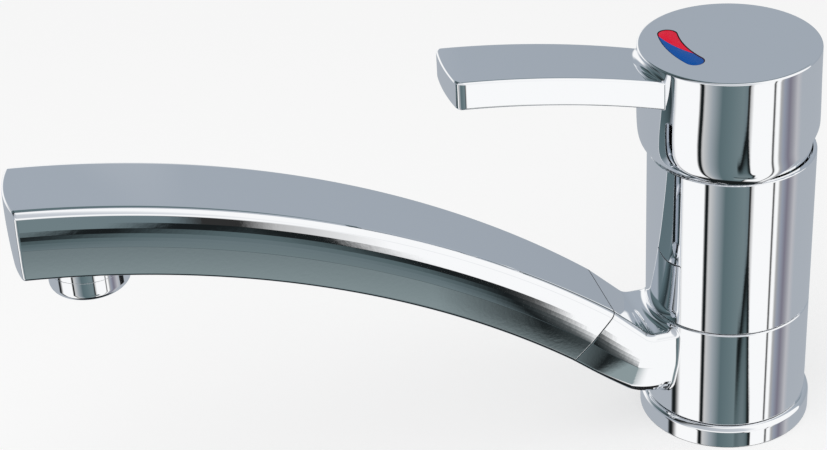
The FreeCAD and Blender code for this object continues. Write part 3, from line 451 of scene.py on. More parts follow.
class Paint:
    """Node tree of one material or world."""

    def __init__(self, tree: bpy.types.NodeTree) -> None:
        """Starts from an empty tree."""
        self.tree = tree
        tree.nodes.clear()

    def node(self, kind: str, settings: dict[str, object] | None = None,
             inputs: dict[str | int, "Wire | Value"] | None = None, output: str | int = 0) -> Wire:
        """Adds a node.

        Args:
            kind: Node type.
            settings: Its own settings, set first. The key "stops" fills a colour ramp.
            inputs: Values or wires for its sockets, by name or number.
            output: Which output to hand back.

        Returns:
            That output as a wire, or the first input where the node has no output.
        """
        made = self.tree.nodes.new(kind)
        for key, value in (settings or {}).items():
            if key == "stops":
                self._fill_ramp(made.color_ramp, value)
            else:
                setattr(made, key, value)
        for key, value in (inputs or {}).items():
            if isinstance(value, Wire):
                self.tree.links.new(value.socket, made.inputs[key])
            else:
                made.inputs[key].default_value = value
        return Wire(self, made.outputs[output] if made.outputs else made.inputs[0])

    @staticmethod
    def _fill_ramp(ramp: bpy.types.ColorRamp, stops: list[tuple[float, Value]]) -> None:
        """Sets a colour ramp's stops, each a place and a grey or a colour.

        Args:
            ramp: The ramp.
            stops: Places and tones, rising.
        """
        while len(ramp.elements) < len(stops):
            ramp.elements.new(1.0)
        for element, (place, tone) in zip(ramp.elements, stops):
            element.position = place
            element.color = (*((tone,) * 3 if isinstance(tone, float) else tone), 1.0)

    def mix(self, share: Wire, first: Wire | Value, last: Wire | Value) -> Wire:
        """Colour at the share of the way from the first to the last."""
        return self.node("ShaderNodeMix", {"data_type": "RGBA"}, {0: share, 6: first, 7: last}, 2)

    def noise(self, scale: float, detail: float = 2.0) -> Wire:
        """Noise on Object coordinates, from 0 to 1.

        Args:
            scale: Cells for each metre.
            detail: Finer layers in it.

        Returns:
            The noise.
        """
        place = self.node("ShaderNodeTexCoord", output="Object")
        return self.node("ShaderNodeTexNoise", {}, {"Vector": place, "Scale": scale,
                                                    "Detail": detail})


def painted(name: str) -> tuple[bpy.types.Material, Paint]:
    """A new material and its node tree.

    Args:
        name: Name of the material.

    Returns:
        The material and its tree, still empty.
    """
    made = bpy.data.materials.new(name)
    made.use_nodes = True
    return made, Paint(made.node_tree)


@dataclass(frozen=True)
class Finish:
    """A surface finish: its colour, how it mirrors, and its fine unevenness.

    The roughness and the colour drift a little with a slow noise of so many patches a metre, and
    a noise of so many grains a metre feeds the bump.
    """

    name: str
    colour: tuple[float, float, float]
    roughness: float
    metallic: float = 0.0
    drift: float = 0.1
    tint: float = 0.04
    grain: float = 2500.0
    grain_depth: float = 0.00001
    specular: float = 0.5
    patches: float = 60.0
    bump: float = 0.5

    def material(self) -> bpy.types.Material:
        """The finish as a material, made once.

        Returns:
            The material.
        """
        found = bpy.data.materials.get(self.name)
        if found:
            return found
        made, paint = painted(self.name)
        slow, fine = paint.noise(self.patches), paint.noise(self.grain)
        dark = tuple(c * (1 - self.tint) for c in self.colour)
        colour = paint.mix(slow, (*dark, 1.0), (*self.colour, 1.0))
        bump = paint.node("ShaderNodeBump", {}, {
            "Strength": self.bump, "Distance": self.grain_depth, "Height": fine})
        swing = self.drift * self.roughness
        shader = paint.node("ShaderNodeBsdfPrincipled", {}, {
            "Base Color": colour, "Roughness": self.roughness - swing + slow * (2 * swing),
            "Metallic": self.metallic, "Specular IOR Level": self.specular, "Normal": bump})
        paint.node("ShaderNodeOutputMaterial", {}, {"Surface": shader})
        return made


CHROME = Finish("chrome_plate", (0.94, 0.95, 0.965), 0.02, 1.0, 0.3, 0.015, 900.0, 0.000002)
# Dark finish worn by the joint seams and the index recess: painted shade, standing in for the
# shadow in those narrow gaps.
PAINTED_SHADE = Finish("painted_gap_shade", (0.035, 0.04, 0.045), 0.6, 0.4, 0.1, 0.2, 3000.0, 0.00001)
SATIN = Finish("satin_steel", (0.72, 0.72, 0.71), 0.3, 1.0, 0.2, 0.05, 4000.0, 0.00002)
BRASS = Finish("turned_brass", (0.78, 0.58, 0.3), 0.28, 1.0, 0.2, 0.08, 3000.0, 0.00002)
WHITE_PLASTIC = Finish("white_acetal", (0.82, 0.81, 0.77), 0.45, 0.0, 0.1, 0.03, 3000.0, 0.00002)
DARK_PLASTIC = Finish("grey_moulding", (0.12, 0.13, 0.14), 0.5, 0.0, 0.1, 0.1, 3000.0, 0.00003)
RUBBER = Finish("seal_rubber", (0.03, 0.03, 0.032), 0.75, 0.0, 0.1, 0.2, 5000.0, 0.00004)
CERAMIC = Finish("lapped_ceramic", (0.88, 0.87, 0.83), 0.2, 0.0, 0.1, 0.02, 6000.0, 0.000004)
RED = Finish("red_gloss", (0.77, 0.005, 0.035), 0.28, 0.0, 0.2, 0.12, 1200.0, 0.00001, 0.1)
BLUE = Finish("blue_gloss", (0.002, 0.085, 0.38), 0.28, 0.0, 0.2, 0.15, 1200.0, 0.00001, 0.1)


# Sub-assemblies

class Body(Enum):
    """The moving bodies of the tap."""

    FIXED = "tap_body_fixed"
    LEVER = "lever"
    SPOUT = "spout"


def seat(piece: bpy.types.Object, body: Body, finishes: tuple[Finish, ...], slot: str,
         *nodes: str) -> None:
    """Dresses a piece, lets it ride on its body and hides the CAD nodes that it replaces.

    Args:
        piece: The new piece.
        body: The body that carries it.
        finishes: Its finishes, in the order of their numbers.
        slot: Not used.
        nodes: The CAD nodes that it replaces.
    """
    for finish in finishes:
        piece.data.materials.append(finish.material())
    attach(piece, body.value)
    if nodes:
        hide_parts(*nodes)
    log.info("%s: %d faces, rides on %s", piece.name, len(piece.data.polygons), body.value)


@dataclass(frozen=True)
class Barrel:
    """Turned fixed parts: the levels and the radii that the other pieces share."""

    radius: float = 21.6
    z_collar_0: float = 6.5
    z_collar_1: float = 35.4
    z_head_0: float = 80.6
    z_top: float = 109.4
    z_pivot: float = 83.0
    spigot_r: float = 17.0
    edge_r: float = 0.4

    def wall(self, points: Array) -> tuple[Array, Array]:
        """Distance of points from the collar's outside, and its normals there."""
        flat = points * np.array([1.0, 1.0, 0.0])
        return np.linalg.norm(flat, axis=-1) - self.radius, unit(flat)


@dataclass(frozen=True)
class BaseRing:
    """Ring on the deck with a beaded top edge."""

    radius: float = 22.8
    height: float = 6.3
    bead_r: float = 1.5
    rebate_r: float = 19.6
    rebate: float = 1.3
    gasket_r: tuple[float, float] = (18.4, 21.0)
    gasket_h: float = 1.8
    rebate_edge_r: float = 0.15
    corner_steps: int = 12

    def build(self, barrel: Barrel) -> None:
        """Turns the ring's rounded outline about the axis.

        Args:
            barrel: Shared levels and radii.
        """
        inner, outer = self.gasket_r
        corners = np.array([
            (barrel.spigot_r, 0), (inner, 0), (inner, self.gasket_h), (outer, self.gasket_h),
            (outer, 0), (self.radius, 0), (self.radius, self.height), (self.rebate_r, self.height),
            (self.rebate_r, self.height - self.rebate),
            (barrel.spigot_r, self.height - self.rebate)])
        radii = np.zeros(len(corners))
        radii[5:8] = barrel.edge_r, self.bead_r, self.rebate_edge_r
        shell = Shell("base_ring_chrome").grid(turned_ring(corners, radii, self.corner_steps))
        seat(shell.build(), Body.FIXED, (CHROME,), "chrome", "base_ring")


@dataclass(frozen=True)
class Spout:
    """Flat-topped arched spout: its section is carried round the centre of its upper arc."""

    width: float = 25.2
    joint: tuple[float, float] = (35.3, 42.87)
    tilt: float = 38.8
    top_r: float = 268.0
    bottom_r: float = 249.4
    bottom_angle: float = 37.98
    joint_height: float = 17.5
    reach: float = 183.0
    waist: float = 0.55
    bow: float = 2.2
    swell: float = 2.0
    crease: float = 10.3
    bulge: float = 0.3
    lean: float = 0.16
    top_edge_r: float = 1.8
    low_edge_r: float = 1.2
    end_edge_r: float = 0.7
    seam_r: float = 0.22
    aerator_s: float = 165.5
    boss_r: float = 10.0
    boss_z: tuple[float, float] = (77.93, 84.0)
    boss_edge_r: float = 0.2
    end_ring: float = 0.0005
    rows: int = 150
    end_rings: int = 14
    end_near: float = 0.006
    shade_rings: int = 4
    boss_columns: int = 128
    boss_steps: int = 6

    def arc(self) -> Arc:
        """Upper arc, from the joint on."""
        return Arc.start(self.joint, self.tilt, self.top_r)

    def joint_low(self) -> tuple[float, float]:
        """Side-view place of the joint's lower edge."""
        low = Arc.start(self.joint, self.tilt, self.joint_height)
        return low.s, low.z

    def depth(self, turn: Array) -> Array:
        """Height of the section on the spoke at each angle.

        The spoke meets the lower arc where its length r solves |c + r e - b| = R, with c and b
        the centres of the two arcs and e the spoke's direction.

        Args:
            turn: Angles of the spokes.

        Returns:
            Heights, one for each angle.
        """
        top, low = self.arc(), Arc.start(self.joint_low(), self.bottom_angle, self.bottom_r)
        gap = np.array([top.s - low.s, top.z - low.z])
        e = np.stack([np.sin(turn), np.cos(turn)], -1)
        along = (e * gap).sum(-1)
        return self.top_r + along - np.sqrt(along ** 2 - gap @ gap + self.bottom_r ** 2)

    def half(self, turn: Array) -> Array:
        """Half width at each angle: both ends are narrower than the middle by the waist.

        Args:
            turn: Angles of the spokes.

        Returns:
            Half widths, one for each angle.
        """
        middle = (self.joint[0] + self.reach) / 2
        s = self.arc().s + self.top_r * np.sin(turn)
        return self.width / 2 - self.waist * ((s - middle) / (self.reach - middle)) ** 2

    def outline(self, height: Array, half: Array, inset: Array | float = 0.0,
                low_r: Array | float | None = None, steps: int = 10) -> Array:
        """Section outlines as (x, depth), drawn in by an inset.

        Above the crease each side curves inward by bulge times the square of the way down to it.
        Below the crease it leans inward in a straight line. The points crowd toward the crease.

        Args:
            height: Section height, one for each outline.
            half: Half width, one for each outline.
            inset: How far each outline is drawn in.
            low_r: Radius of the lower corners.
            steps: Points on each rounded corner and on each half of a side.

        Returns:
            Closed outlines with divided flats, shape (n, columns, 2).
        """
        low_r = self.low_edge_r if low_r is None else low_r
        height, half, inset, low_r = (v[:, None] for v in np.broadcast_arrays(
            *(np.atleast_1d(v) for v in (height, half, inset, low_r))))
        half, bottom = half - inset, height - inset
        top_r = np.maximum(self.top_edge_r - inset, LEAST_R)
        low_r = np.maximum(low_r - inset, LEAST_R)
        slope = math.atan(self.lean)
        t = np.linspace(0, 1, steps)[None, :]
        top = top_r * (1 - np.cos(t * math.pi / 2))
        arc_top = half - top_r + top_r * np.sin(t * math.pi / 2), inset + top
        upper_h = inset + top_r + (1 - (1 - t) ** 2) * (self.crease - inset - top_r)
        fall = np.clip((upper_h - self.top_edge_r) / (self.crease - self.top_edge_r), 0, 1)
        upper = half - self.bulge * fall ** 2, upper_h
        corner_x = half - self.bulge - self.lean * (bottom - self.crease)
        reach = low_r * math.tan(math.pi / 4 - slope / 2)
        end_h = bottom - reach * math.cos(slope)
        lower_h = self.crease + t ** 2 * (end_h - self.crease)
        lower = half - self.bulge - self.lean * (lower_h - self.crease), lower_h
        turn = slope + t * (math.pi / 2 - slope)
        arc_low = (corner_x - reach + low_r * np.cos(turn),
                   bottom - low_r + low_r * np.sin(turn))
        right = np.concatenate([np.stack(np.broadcast_arrays(*part), -1) for part in
                                (arc_top, upper, lower, arc_low)], 1)
        return divided(np.concatenate([right, right[:, ::-1] * np.array([-1.0, 1.0])], 1))

    def end_turn(self, outline: Array, back: Array | float) -> Array:
        """Angle at which each point meets the bowed end face, held back from it by a distance.

        The end face is s = m + sqrt(p(z)^2 - x^2), where p shrinks above and below mid height.
        The angle is found by repeated substitution.

        Args:
            outline: Points (x, depth).
            back: Distance by which they are held back.

        Returns:
            Angles, one for each point.
        """
        arc, tip = self.arc(), self.ends()[1]
        bow_r, swell_r = bow_radius(self.width / 2, self.bow), bow_radius(self.width, self.swell)
        turn = np.full(outline.shape[:-1], tip)
        z_mid = arc.z + (arc.radius - float(self.depth(tip)) / 2) * math.cos(tip)
        for _ in range(ROUNDS):
            z = arc.z + (arc.radius - outline[..., 1]) * np.cos(turn)
            p = bow_r - swell_r + np.sqrt(swell_r ** 2 - (z - z_mid) ** 2)
            s = self.reach - bow_r + np.sqrt(p ** 2 - outline[..., 0] ** 2) - back
            turn = arc.turn(s, outline[..., 1])
        return turn

    def section(self, turn: Array, inset: Array | float = 0.0) -> Array:
        """Section outlines at these angles, drawn in by an inset."""
        return self.outline(self.depth(turn), self.half(turn), inset)

    def ends(self) -> tuple[float, float]:
        """Angles of the joint and of the tip."""
        return -math.radians(self.tilt), float(self.arc().turn(self.reach))

    def joint_half(self) -> Array:
        """Half width at the joint."""
        return self.half(np.array([self.ends()[0]]))

    def at_joint(self, shell: Shell) -> Array:
        """Closes the joint's end in the dark finish, up to the last ring of its rounded seam:
        painted shade for the gap at the joint.

        Args:
            shell: Mesh that the surfaces are added to.

        Returns:
            The seam's last two rings, where the sweep goes on.
        """
        start = np.array([self.ends()[0]])
        rings = self.section(start, self.seam_r * (1 - np.sin(QUARTER)))
        back = self.seam_r * (1 - np.cos(QUARTER)) / self.top_r
        seam = self.arc().place(rings, (start + back)[:, None])
        # the seam's rounding wears the dark finish: painted shade of the joint's gap
        shell.grid(braced(seam[:-1]), 1)
        fill = shrunk(rings[0], self.shade_rings)
        shell.grid(braced(self.arc().place(fill, start[:, None])), 1)
        return seam[-2:]

    def at_tip(self, shell: Shell) -> Array:
        """Closes the bowed end and works out the rings of its rounded edge.

        Args:
            shell: Mesh that the surfaces are added to.

        Returns:
            The rings, from the sweep's last one outward.
        """
        rings = self.section(np.array([self.ends()[1]]),
                             self.end_edge_r * (1 - np.cos(QUARTER[1:])))
        held = (self.end_edge_r * (1 - np.sin(QUARTER[1:])))[:, None]
        fill = shrunk(rings[-1], self.end_rings, self.end_near)
        shell.grid(braced(self.arc().place(fill, self.end_turn(fill, 0.0))))
        return self.arc().place(rings, self.end_turn(rings, held))

    def build(self) -> None:
        """Sweeps the section from the joint to the bowed end and adds the aerator's boss."""
        shell = Shell("spout_chrome")
        start, tip = self.ends()
        near = self.end_ring
        share = np.concatenate([[near], np.linspace(0, 1, self.rows)[1:-1], [1 - near, 1.0]])
        sections = self.section(between(start, tip, share))
        last = self.end_turn(sections[-1], self.end_edge_r)
        first = np.array(start + self.seam_r / self.top_r)
        body = self.arc().place(sections, between(first, last, share[:, None]))
        shell.grid(braced(np.concatenate([self.at_joint(shell), body, self.at_tip(shell)])))
        z0, z1 = self.boss_z
        boss = eased(np.array([(0, z0), (self.boss_r, z0), (self.boss_r, z1), (0, z1)]),
                     np.array([0, LEAST_R, self.boss_edge_r, 0]), self.boss_steps, False)
        shell.grid(turned(boss, self.boss_columns, (0.0, -self.aerator_s)))
        seat(shell.build(), Body.SPOUT, (CHROME, PAINTED_SHADE), "chrome", "spout_tube")


@dataclass(frozen=True)
class Elbow:
    """Swivel collar with the elbow that leaves it level and bends up to the spout joint."""

    root_s: float = 12.0
    root_top: float = 33.3
    root_low: float = 11.6
    bend_top_s: float = 25.4
    bend_low_s: float = 25.4
    bend_top_r: float = 4.0
    bend_low_r: float = 20.0
    root_corner_r: float = 7.0
    fillet_top: float = 2.0
    fillet_side: float = 1.1
    bore_gap: float = 0.06
    rebate_r: float = 19.7
    rebate: float = 1.36
    bore_edge_r: float = 0.1
    bend_steps: int = 60
    straight_steps: int = 90
    corner_steps: int = 10
    shade_rings: int = 5

    def paths(self, spout: Spout) -> tuple[Array, Array]:
        """Side-view lines of the upper and the lower face: level, an arc, then straight up.

        Args:
            spout: Gives the joint.

        Returns:
            Two lines of equal count, shape (n, 2).
        """
        lines = []
        for z, bend, radius, end in (
                (self.root_top, self.bend_top_s, self.bend_top_r, spout.joint),
                (self.root_low, self.bend_low_s, self.bend_low_r, spout.joint_low())):
            line = np.array([(self.root_s, z), (bend, z), end])
            bent = eased(line, np.array([0, radius, 0]), self.bend_steps, False)
            bent = bent[self.bend_steps:-self.bend_steps]
            t = np.linspace(0, 1, self.straight_steps)[:, None]
            lines.append(np.concatenate([
                between(line[0], bent[0], t), bent[1:-1], between(bent[-1], line[-1], t)]))
        return lines[0], lines[1]

    def sweep(self, spout: Spout) -> tuple[Array, Array, Array]:
        """Carries the section along the two lines.

        A point (x, depth) lies on the straight line from the upper to the lower face, and the
        lower corners grow rounder toward the root.

        Args:
            spout: Gives the joint and the section.

        Returns:
            The grid, and the side-view place and downward direction of its last section.
        """
        top, low = self.paths(spout)
        down = low - top
        height = np.linalg.norm(down, axis=1)
        down = down / height[:, None]
        t = np.clip((height - height[-1]) / (height[0] - height[-1]), 0, 1)
        low_r = between(spout.low_edge_r, self.root_corner_r, t)
        outline = spout.outline(height, spout.joint_half(), 0.0, low_r)
        side = top[:, None, :] + outline[..., 1:] * down[:, None, :]
        return from_side(outline[..., 0], side[..., 0], side[..., 1]), top[-1], down[-1]

    def build(self, barrel: Barrel, spout: Spout) -> None:
        """Makes the collar and the elbow as one piece.

        Args:
            barrel: Shared levels and radii.
            spout: Gives the joint and the section.
        """
        grid, top, down = self.sweep(spout)
        up = np.clip(unit(grid[-1] - heart(grid[-1]))[:, 2], 0, 1)
        ball_r = between(self.fillet_side, self.fillet_top, np.minimum(2 * up, 1))
        body = rooted(grid, ball_r, barrel.wall)
        inset = spout.seam_r * (1 - np.cos(QUARTER[1:]))
        push = spout.seam_r * (np.sin(QUARTER[1:]) - 1)
        ahead = np.array([-down[1], down[0]])
        rings = spout.outline(np.full(len(push), spout.joint_height), spout.joint_half(), inset)
        side = top + rings[..., 1:] * down + (push[:, None] * ahead)[:, None, :]
        ends = from_side(rings[..., 0], side[..., 0], side[..., 1])
        shell = Shell("collar_chrome").grid(braced(np.concatenate([body[:-2], ends[:1]])))
        # the seam's rounding and the closed end wear the dark finish: painted shade of the joint's
        # gap
        fill = shrunk(ends[-1], self.shade_rings)[1:]
        shell.grid(braced(np.concatenate([ends, fill])), 1)
        bore, low, high = barrel.spigot_r + self.bore_gap, barrel.z_collar_0, barrel.z_collar_1
        corners = np.array([
            (bore, low), (barrel.radius, low), (barrel.radius, high), (self.rebate_r, high),
            (self.rebate_r, high - self.rebate), (bore, high - self.rebate)])
        radii = np.full(len(corners), self.bore_edge_r)
        radii[1:3] = barrel.edge_r
        shell.grid(turned_ring(corners, radii, self.corner_steps))
        seat(shell.build(), Body.SPOUT, (CHROME, PAINTED_SHADE), "chrome", "swivel_collar")


@dataclass(frozen=True)
class Aerator:
    """Chrome shell of the aerator under the spout's tip."""

    place: tuple[float, float] = (0.0, -165.5)
    radius: float = 10.0
    thread_r: float = 8.2
    bore_r: float = 7.3
    lip_r: float = 6.4
    z0: float = 72.38
    z1: float = 77.88
    z_thread: float = 83.38
    inset: float = 0.8
    edge_r: float = 2.0
    lip_edge_r: float = 0.15
    thread_edge_r: float = 0.1
    corner_steps: int = 8
    columns: int = 160

    def build(self) -> None:
        """Turns the shell's outline: outside, thread, bore and the lip round the outlet."""
        corners = np.array([
            (self.lip_r, self.z0), (self.radius, self.z0), (self.radius, self.z1),
            (self.thread_r, self.z1), (self.thread_r, self.z_thread), (self.bore_r, self.z_thread),
            (self.bore_r, self.z0 + self.inset), (self.lip_r, self.z0 + self.inset)])
        radii = np.array([self.lip_edge_r, self.edge_r, LEAST_R, *[self.thread_edge_r] * 3,
                          LEAST_R, self.lip_edge_r])
        shell = Shell("aerator_chrome")
        shell.grid(turned_ring(corners, radii, self.corner_steps, self.columns, self.place))
        seat(shell.build(), Body.SPOUT, (CHROME,), "chrome", "aerator_housing")


@dataclass(frozen=True)
class Head:
    """Cap with its ball skirt and the flat lever, one casting."""

    rise: tuple[float, ...] = (0.0, 1.2, 3.4, 6.9, 17.4, 28.8)
    half_x: tuple[float, ...] = (21.6, 22.0, 22.2, 22.3, 22.65, 23.0)
    half_y: tuple[float, ...] = (21.6, 22.35, 22.95, 23.2, 23.1, 23.0)
    lean: tuple[float, ...] = (0.0, 0.45, 0.96, 1.2, 1.35, 1.5)
    edge_r: float = 0.55
    relief: float = 20.6
    ball_r: float = 20.4
    ball_inner_r: float = 18.9
    half_lift: float = 10.0
    skirt_dip: float = 20.45
    lever_w: float = 20.4
    lever_t: float = 7.35
    lever_r: float = 265.0
    lever_angle: float = 15.55
    lever_root: tuple[float, float] = (20.9, 106.13)
    lever_start: float = 14.0
    lever_reach: float = 75.0
    lever_bow: float = 0.8
    lever_edge_r: float = 0.6
    lever_corner_r: float = 1.8
    end_ring: float = 0.0007
    fillet_top: float = 1.5
    fillet_side: float = 0.35
    index_arc_r: float = 30.0
    index_half_w: float = 2.6
    index_half_angle: float = 15.7
    index_middle: tuple[float, float] = (-1.3, -14.9)
    index_tilt: float = 3.8
    index_depth: float = 0.7
    index_rings: tuple[float, ...] = (2.0, 0.6, 0.2, 0.05, 0.0)
    index_outline: float = 0.28
    index_recess: float = 0.1
    index_bevel: float = 0.03
    index_split_angle: float = 24.8
    index_split_up: float = 0.55
    columns: int = 320
    side_rows: int = 48
    rim_rows: int = 10
    top_rows: int = 10
    top_near: float = 0.01
    recess_shares: tuple[float, ...] = (1.0, 0.995, 0.5, 0.0)
    skirt_rows: int = 24
    lever_rows: int = 240
    lever_steps: int = 8
    end_rings: int = 10
    end_near: float = 0.008
    bean_end_steps: int = 90
    bean_side_steps: int = 120
    inlay_columns: int = 160
    inlay_shares: tuple[float, ...] = (0.0, 0.97, 1.0, 1.0, 0.0)

    def axes(self, barrel: Barrel, z: Array) -> list[Array]:
        """Half axes of the cap's ovals and their lean, as cubics of the height."""
        up = np.clip(z - barrel.z_head_0, 0, self.rise[-1])
        return [spline(self.rise, values, up) for values in (self.half_x, self.half_y, self.lean)]

    def oval(self, barrel: Barrel, z: Array, a: Array, inset: Array | float = 0.0) -> Array:
        """Points of the cap's ovals.

        Args:
            barrel: Shared levels.
            z: Heights.
            a: Angles round the axis.
            inset: How far the oval is drawn in.

        Returns:
            Points, shape of z and a together, with a last axis of 3.
        """
        rx, ry, lean = self.axes(barrel, z)
        x, y = (rx - inset) * np.cos(a), (ry - inset) * np.sin(a) - lean
        return np.stack(np.broadcast_arrays(x, y, z), -1)

    def low_edge(self, barrel: Barrel, a: Array) -> Array:
        """Height of the cap's lower edge: level in front, rising behind with the relief plane.

        Args:
            barrel: Shared levels and radii.
            a: Angles round the axis.

        Returns:
            Heights, one for each angle.
        """
        z = np.full_like(a, barrel.z_head_0)
        for _ in range(ROUNDS):
            y = self.oval(barrel, z, a)[..., 1]
            z = barrel.z_head_0 + np.clip(y, 0, None) * math.tan(math.radians(self.relief))
        return z

    def wall(self, barrel: Barrel, points: Array) -> tuple[Array, Array]:
        """Distance of points from the cap's side, and its normals there.

        The distance is the oval's (q - 1) times its mean half axis, with q the length of the
        point divided by the half axes.

        Args:
            barrel: Shared levels and radii.
            points: Points in space.

        Returns:
            Distances and normals.
        """
        rx, ry, lean = self.axes(barrel, points[..., 2])
        y = points[..., 1] + lean
        q = np.hypot(points[..., 0] / rx, y / ry)
        normal = unit(np.stack([points[..., 0] / rx ** 2, y / ry ** 2, 0 * q], -1))
        return (q - 1) * (rx + ry) / 2, normal

    def on_index(self, u: Array, v: Array) -> Array:
        """Plan points at length u along the index's bent middle line and v behind it.

        The middle line is an arc of radius R: x = (R - v) sin(u / R) and y = R - (R - v)
        cos(u / R), turned by the tilt about the index's middle.

        Args:
            u: Lengths along the line.
            v: Distances behind it.

        Returns:
            Points (x, y).
        """
        arm = self.index_arc_r - v
        x = arm * np.sin(u / self.index_arc_r)
        y = self.index_arc_r - arm * np.cos(u / self.index_arc_r)
        return np.stack(rotated(x, y, self.index_tilt), -1) + self.index_middle

    def bean(self, toward: Array, out: float) -> Array:
        """Outline of the index moved out by a distance, read by direction from its middle.

        The strip's ends are half circles, w = h sin(q) past the straight part. Its outline is
        turned into length against direction, and read at the directions that are asked for.

        Args:
            toward: Directions, in radians.
            out: The distance.

        Returns:
            Points (x, y), one for each direction.
        """
        w = self.index_half_w + out
        straight = self.index_arc_r * math.radians(self.index_half_angle)
        q = np.linspace(-math.pi / 2, math.pi / 2, self.bean_end_steps)
        run = np.linspace(-straight, straight, self.bean_side_steps)
        u = np.concatenate([run, straight + w * np.cos(q), run[::-1], -straight - w * np.cos(q)])
        v = np.concatenate([0 * run - w, w * np.sin(q), 0 * run + w, -w * np.sin(q)])
        spoke = self.on_index(u, v) - self.index_middle
        angle = np.arctan2(spoke[:, 1], spoke[:, 0])
        order = np.argsort(angle)
        length = np.interp(toward, angle[order], np.hypot(*spoke.T)[order], period=2 * math.pi)
        return self.index_middle + length[:, None] * np.stack([np.cos(toward), np.sin(toward)], -1)

    def crown(self, barrel: Barrel, rim: Array) -> tuple[Array, Array]:
        """Flat top and the recess in it.

        Each point of the rim looks toward the index's middle. The top runs straight in along
        that line to the index's outline, and the recess goes down there and on to the middle.

        Args:
            barrel: Shared levels and radii.
            rim: Last ring of the cap's rounded rim.

        Returns:
            The top's grid and the recess's grid, which share the outline.
        """
        spoke = rim[:, :2] - self.index_middle
        toward = np.arctan2(spoke[:, 1], spoke[:, 0])
        near = np.stack([self.bean(toward, out) for out in self.index_rings])
        t = np.linspace(0, 1, self.top_rows)[:, None, None]
        t[0] = self.top_near
        top = np.concatenate([between(rim[:, :2], near[0], t), near[1:]])
        share = np.reshape(self.recess_shares, (-1, 1, 1))
        floor = between(np.array(self.index_middle), near[-1], share)
        z = barrel.z_top - self.index_depth * (share < 1)
        return raised(top, barrel.z_top), raised(floor, z)

    def inlay(self, barrel: Barrel, name: str, behind: bool, finish: Finish, slot: str,
              node: str) -> None:
        """One half of the index, on one side of a slanting line.

        At length u the strip reaches from -h(u) to h(u), with h the half width, round toward
        the ends. The line lies at v = up + u tan(angle), and each half keeps what is behind or
        before it. The ring runs along one edge and back along the other.

        Args:
            barrel: Shared levels.
            name: Name of the piece.
            behind: Whether it is the half behind the line.
            finish: Its enamel.
            slot: The record's material slot.
            node: The CAD node that it replaces.
        """
        w = self.index_half_w - self.index_outline
        straight = self.index_arc_r * math.radians(self.index_half_angle)
        q = np.linspace(-math.pi / 2, math.pi / 2, self.inlay_columns)
        u = (straight + w) * np.sin(q)
        past = np.clip(np.abs(u) - straight, 0, w)
        h = np.sqrt(w ** 2 - past ** 2)
        slant = math.tan(math.radians(self.index_split_angle - self.index_tilt))
        line = np.clip(self.index_split_up + u * slant, -h, h)
        low, high = (line, h) if behind else (-h, line)
        ring_u, spine = np.concatenate([u, u[::-1]]), (low + high) / 2
        ring_v, spine = np.concatenate([low, high[::-1]]), np.concatenate([spine, spine[::-1]])
        share = np.array(self.inlay_shares)[:, None]
        recess, depth = self.index_recess, self.index_depth
        z = barrel.z_top - np.array([recess, recess, recess + self.index_bevel, depth, depth])
        rings = self.on_index(ring_u, between(spine, ring_v, share))
        shell = Shell(name).grid(raised(rings, z))
        seat(shell.build(), Body.LEVER, (finish,), slot, node)

    def cap(self, shell: Shell, barrel: Barrel) -> None:
        """Adds the cap's side, rounded rim and top, and the skirt below, as one closed surface.

        Args:
            shell: Mesh that the surfaces are added to.
            barrel: Shared levels and radii.
        """
        a = np.linspace(0, 2 * math.pi, self.columns, endpoint=False)[None, :]
        z_edge = barrel.z_top - self.edge_r
        u = np.linspace(0, 1, self.side_rows)[:, None]
        side = self.oval(barrel, between(self.low_edge(barrel, a), z_edge, u), a)
        q = np.linspace(0, math.pi / 2, self.rim_rows)[1:, None]
        rim = self.oval(barrel, z_edge + self.edge_r * np.sin(q), a,
                        self.edge_r * (1 - np.cos(q)))
        top, recess = self.crown(barrel, rim[-1])
        shell.grid(np.concatenate([side, rim, top]))
        # the recess round and under the inlays wears the dark finish: painted shade, the thin dark
        # outline round them
        shell.grid(recess, 1)
        centre = np.array([0, 0, barrel.z_pivot])
        upper = unit(side[0] - centre)
        dip = math.radians(self.skirt_dip)
        y, z = rotated(math.cos(dip) * np.sin(a[0]), -math.sin(dip), self.half_lift)
        lower = np.stack([math.cos(dip) * np.cos(a[0]), y, z], -1)
        t = np.linspace(0, 1, self.skirt_rows)[:, None, None]
        outside = unit(between(upper, lower, t))
        inside = unit(between(lower, np.array([0, 0, 1.0]), t))
        shell.grid(np.concatenate([side[:1], centre + outside * self.ball_r,
                                   centre + inside * self.ball_inner_r]))

    def lever(self, shell: Shell, barrel: Barrel) -> None:
        """Adds the lever: its section is carried along the arc, closed by a bowed end.

        Args:
            shell: Mesh that the surfaces are added to.
            barrel: Shared levels and radii.
        """
        arc = Arc.start(self.lever_root, self.lever_angle, self.lever_r)
        half = self.lever_w / 2
        bow_r = bow_radius(half, self.lever_bow)
        inset = self.lever_edge_r * (1 - np.cos(QUARTER))
        back = self.lever_edge_r * (1 - np.sin(QUARTER))

        def section(draw_in: float) -> Array:
            """Rounded bar section as (x, depth), drawn in on all sides.

            Args:
                draw_in: How far it is drawn in.

            Returns:
                Closed outline.
            """
            h, e = half - draw_in, draw_in
            corners = np.array([(-h, e), (h, e), (h, self.lever_t - e), (-h, self.lever_t - e)])
            radii = np.full(4, max(self.lever_edge_r - draw_in, LEAST_R))
            return divided(eased(corners, radii, self.lever_steps), half)

        def bowed(outline: Array, held: float) -> Array:
            """Angle where each point meets the bowed end with its rounded corners.

            Args:
                outline: Points (x, depth).
                held: Distance by which they are held back.

            Returns:
                Angles, one for each point.
            """
            x = np.abs(outline[..., 0])
            r = self.lever_corner_r
            s = self.lever_reach - bow_r + np.sqrt(bow_r ** 2 - x ** 2)
            over = np.clip((x - (half - r)) / r, 0, 1)
            s = s - r * (1 - np.sqrt(1 - over ** 2)) - held
            return arc.turn(s, outline[..., 1])

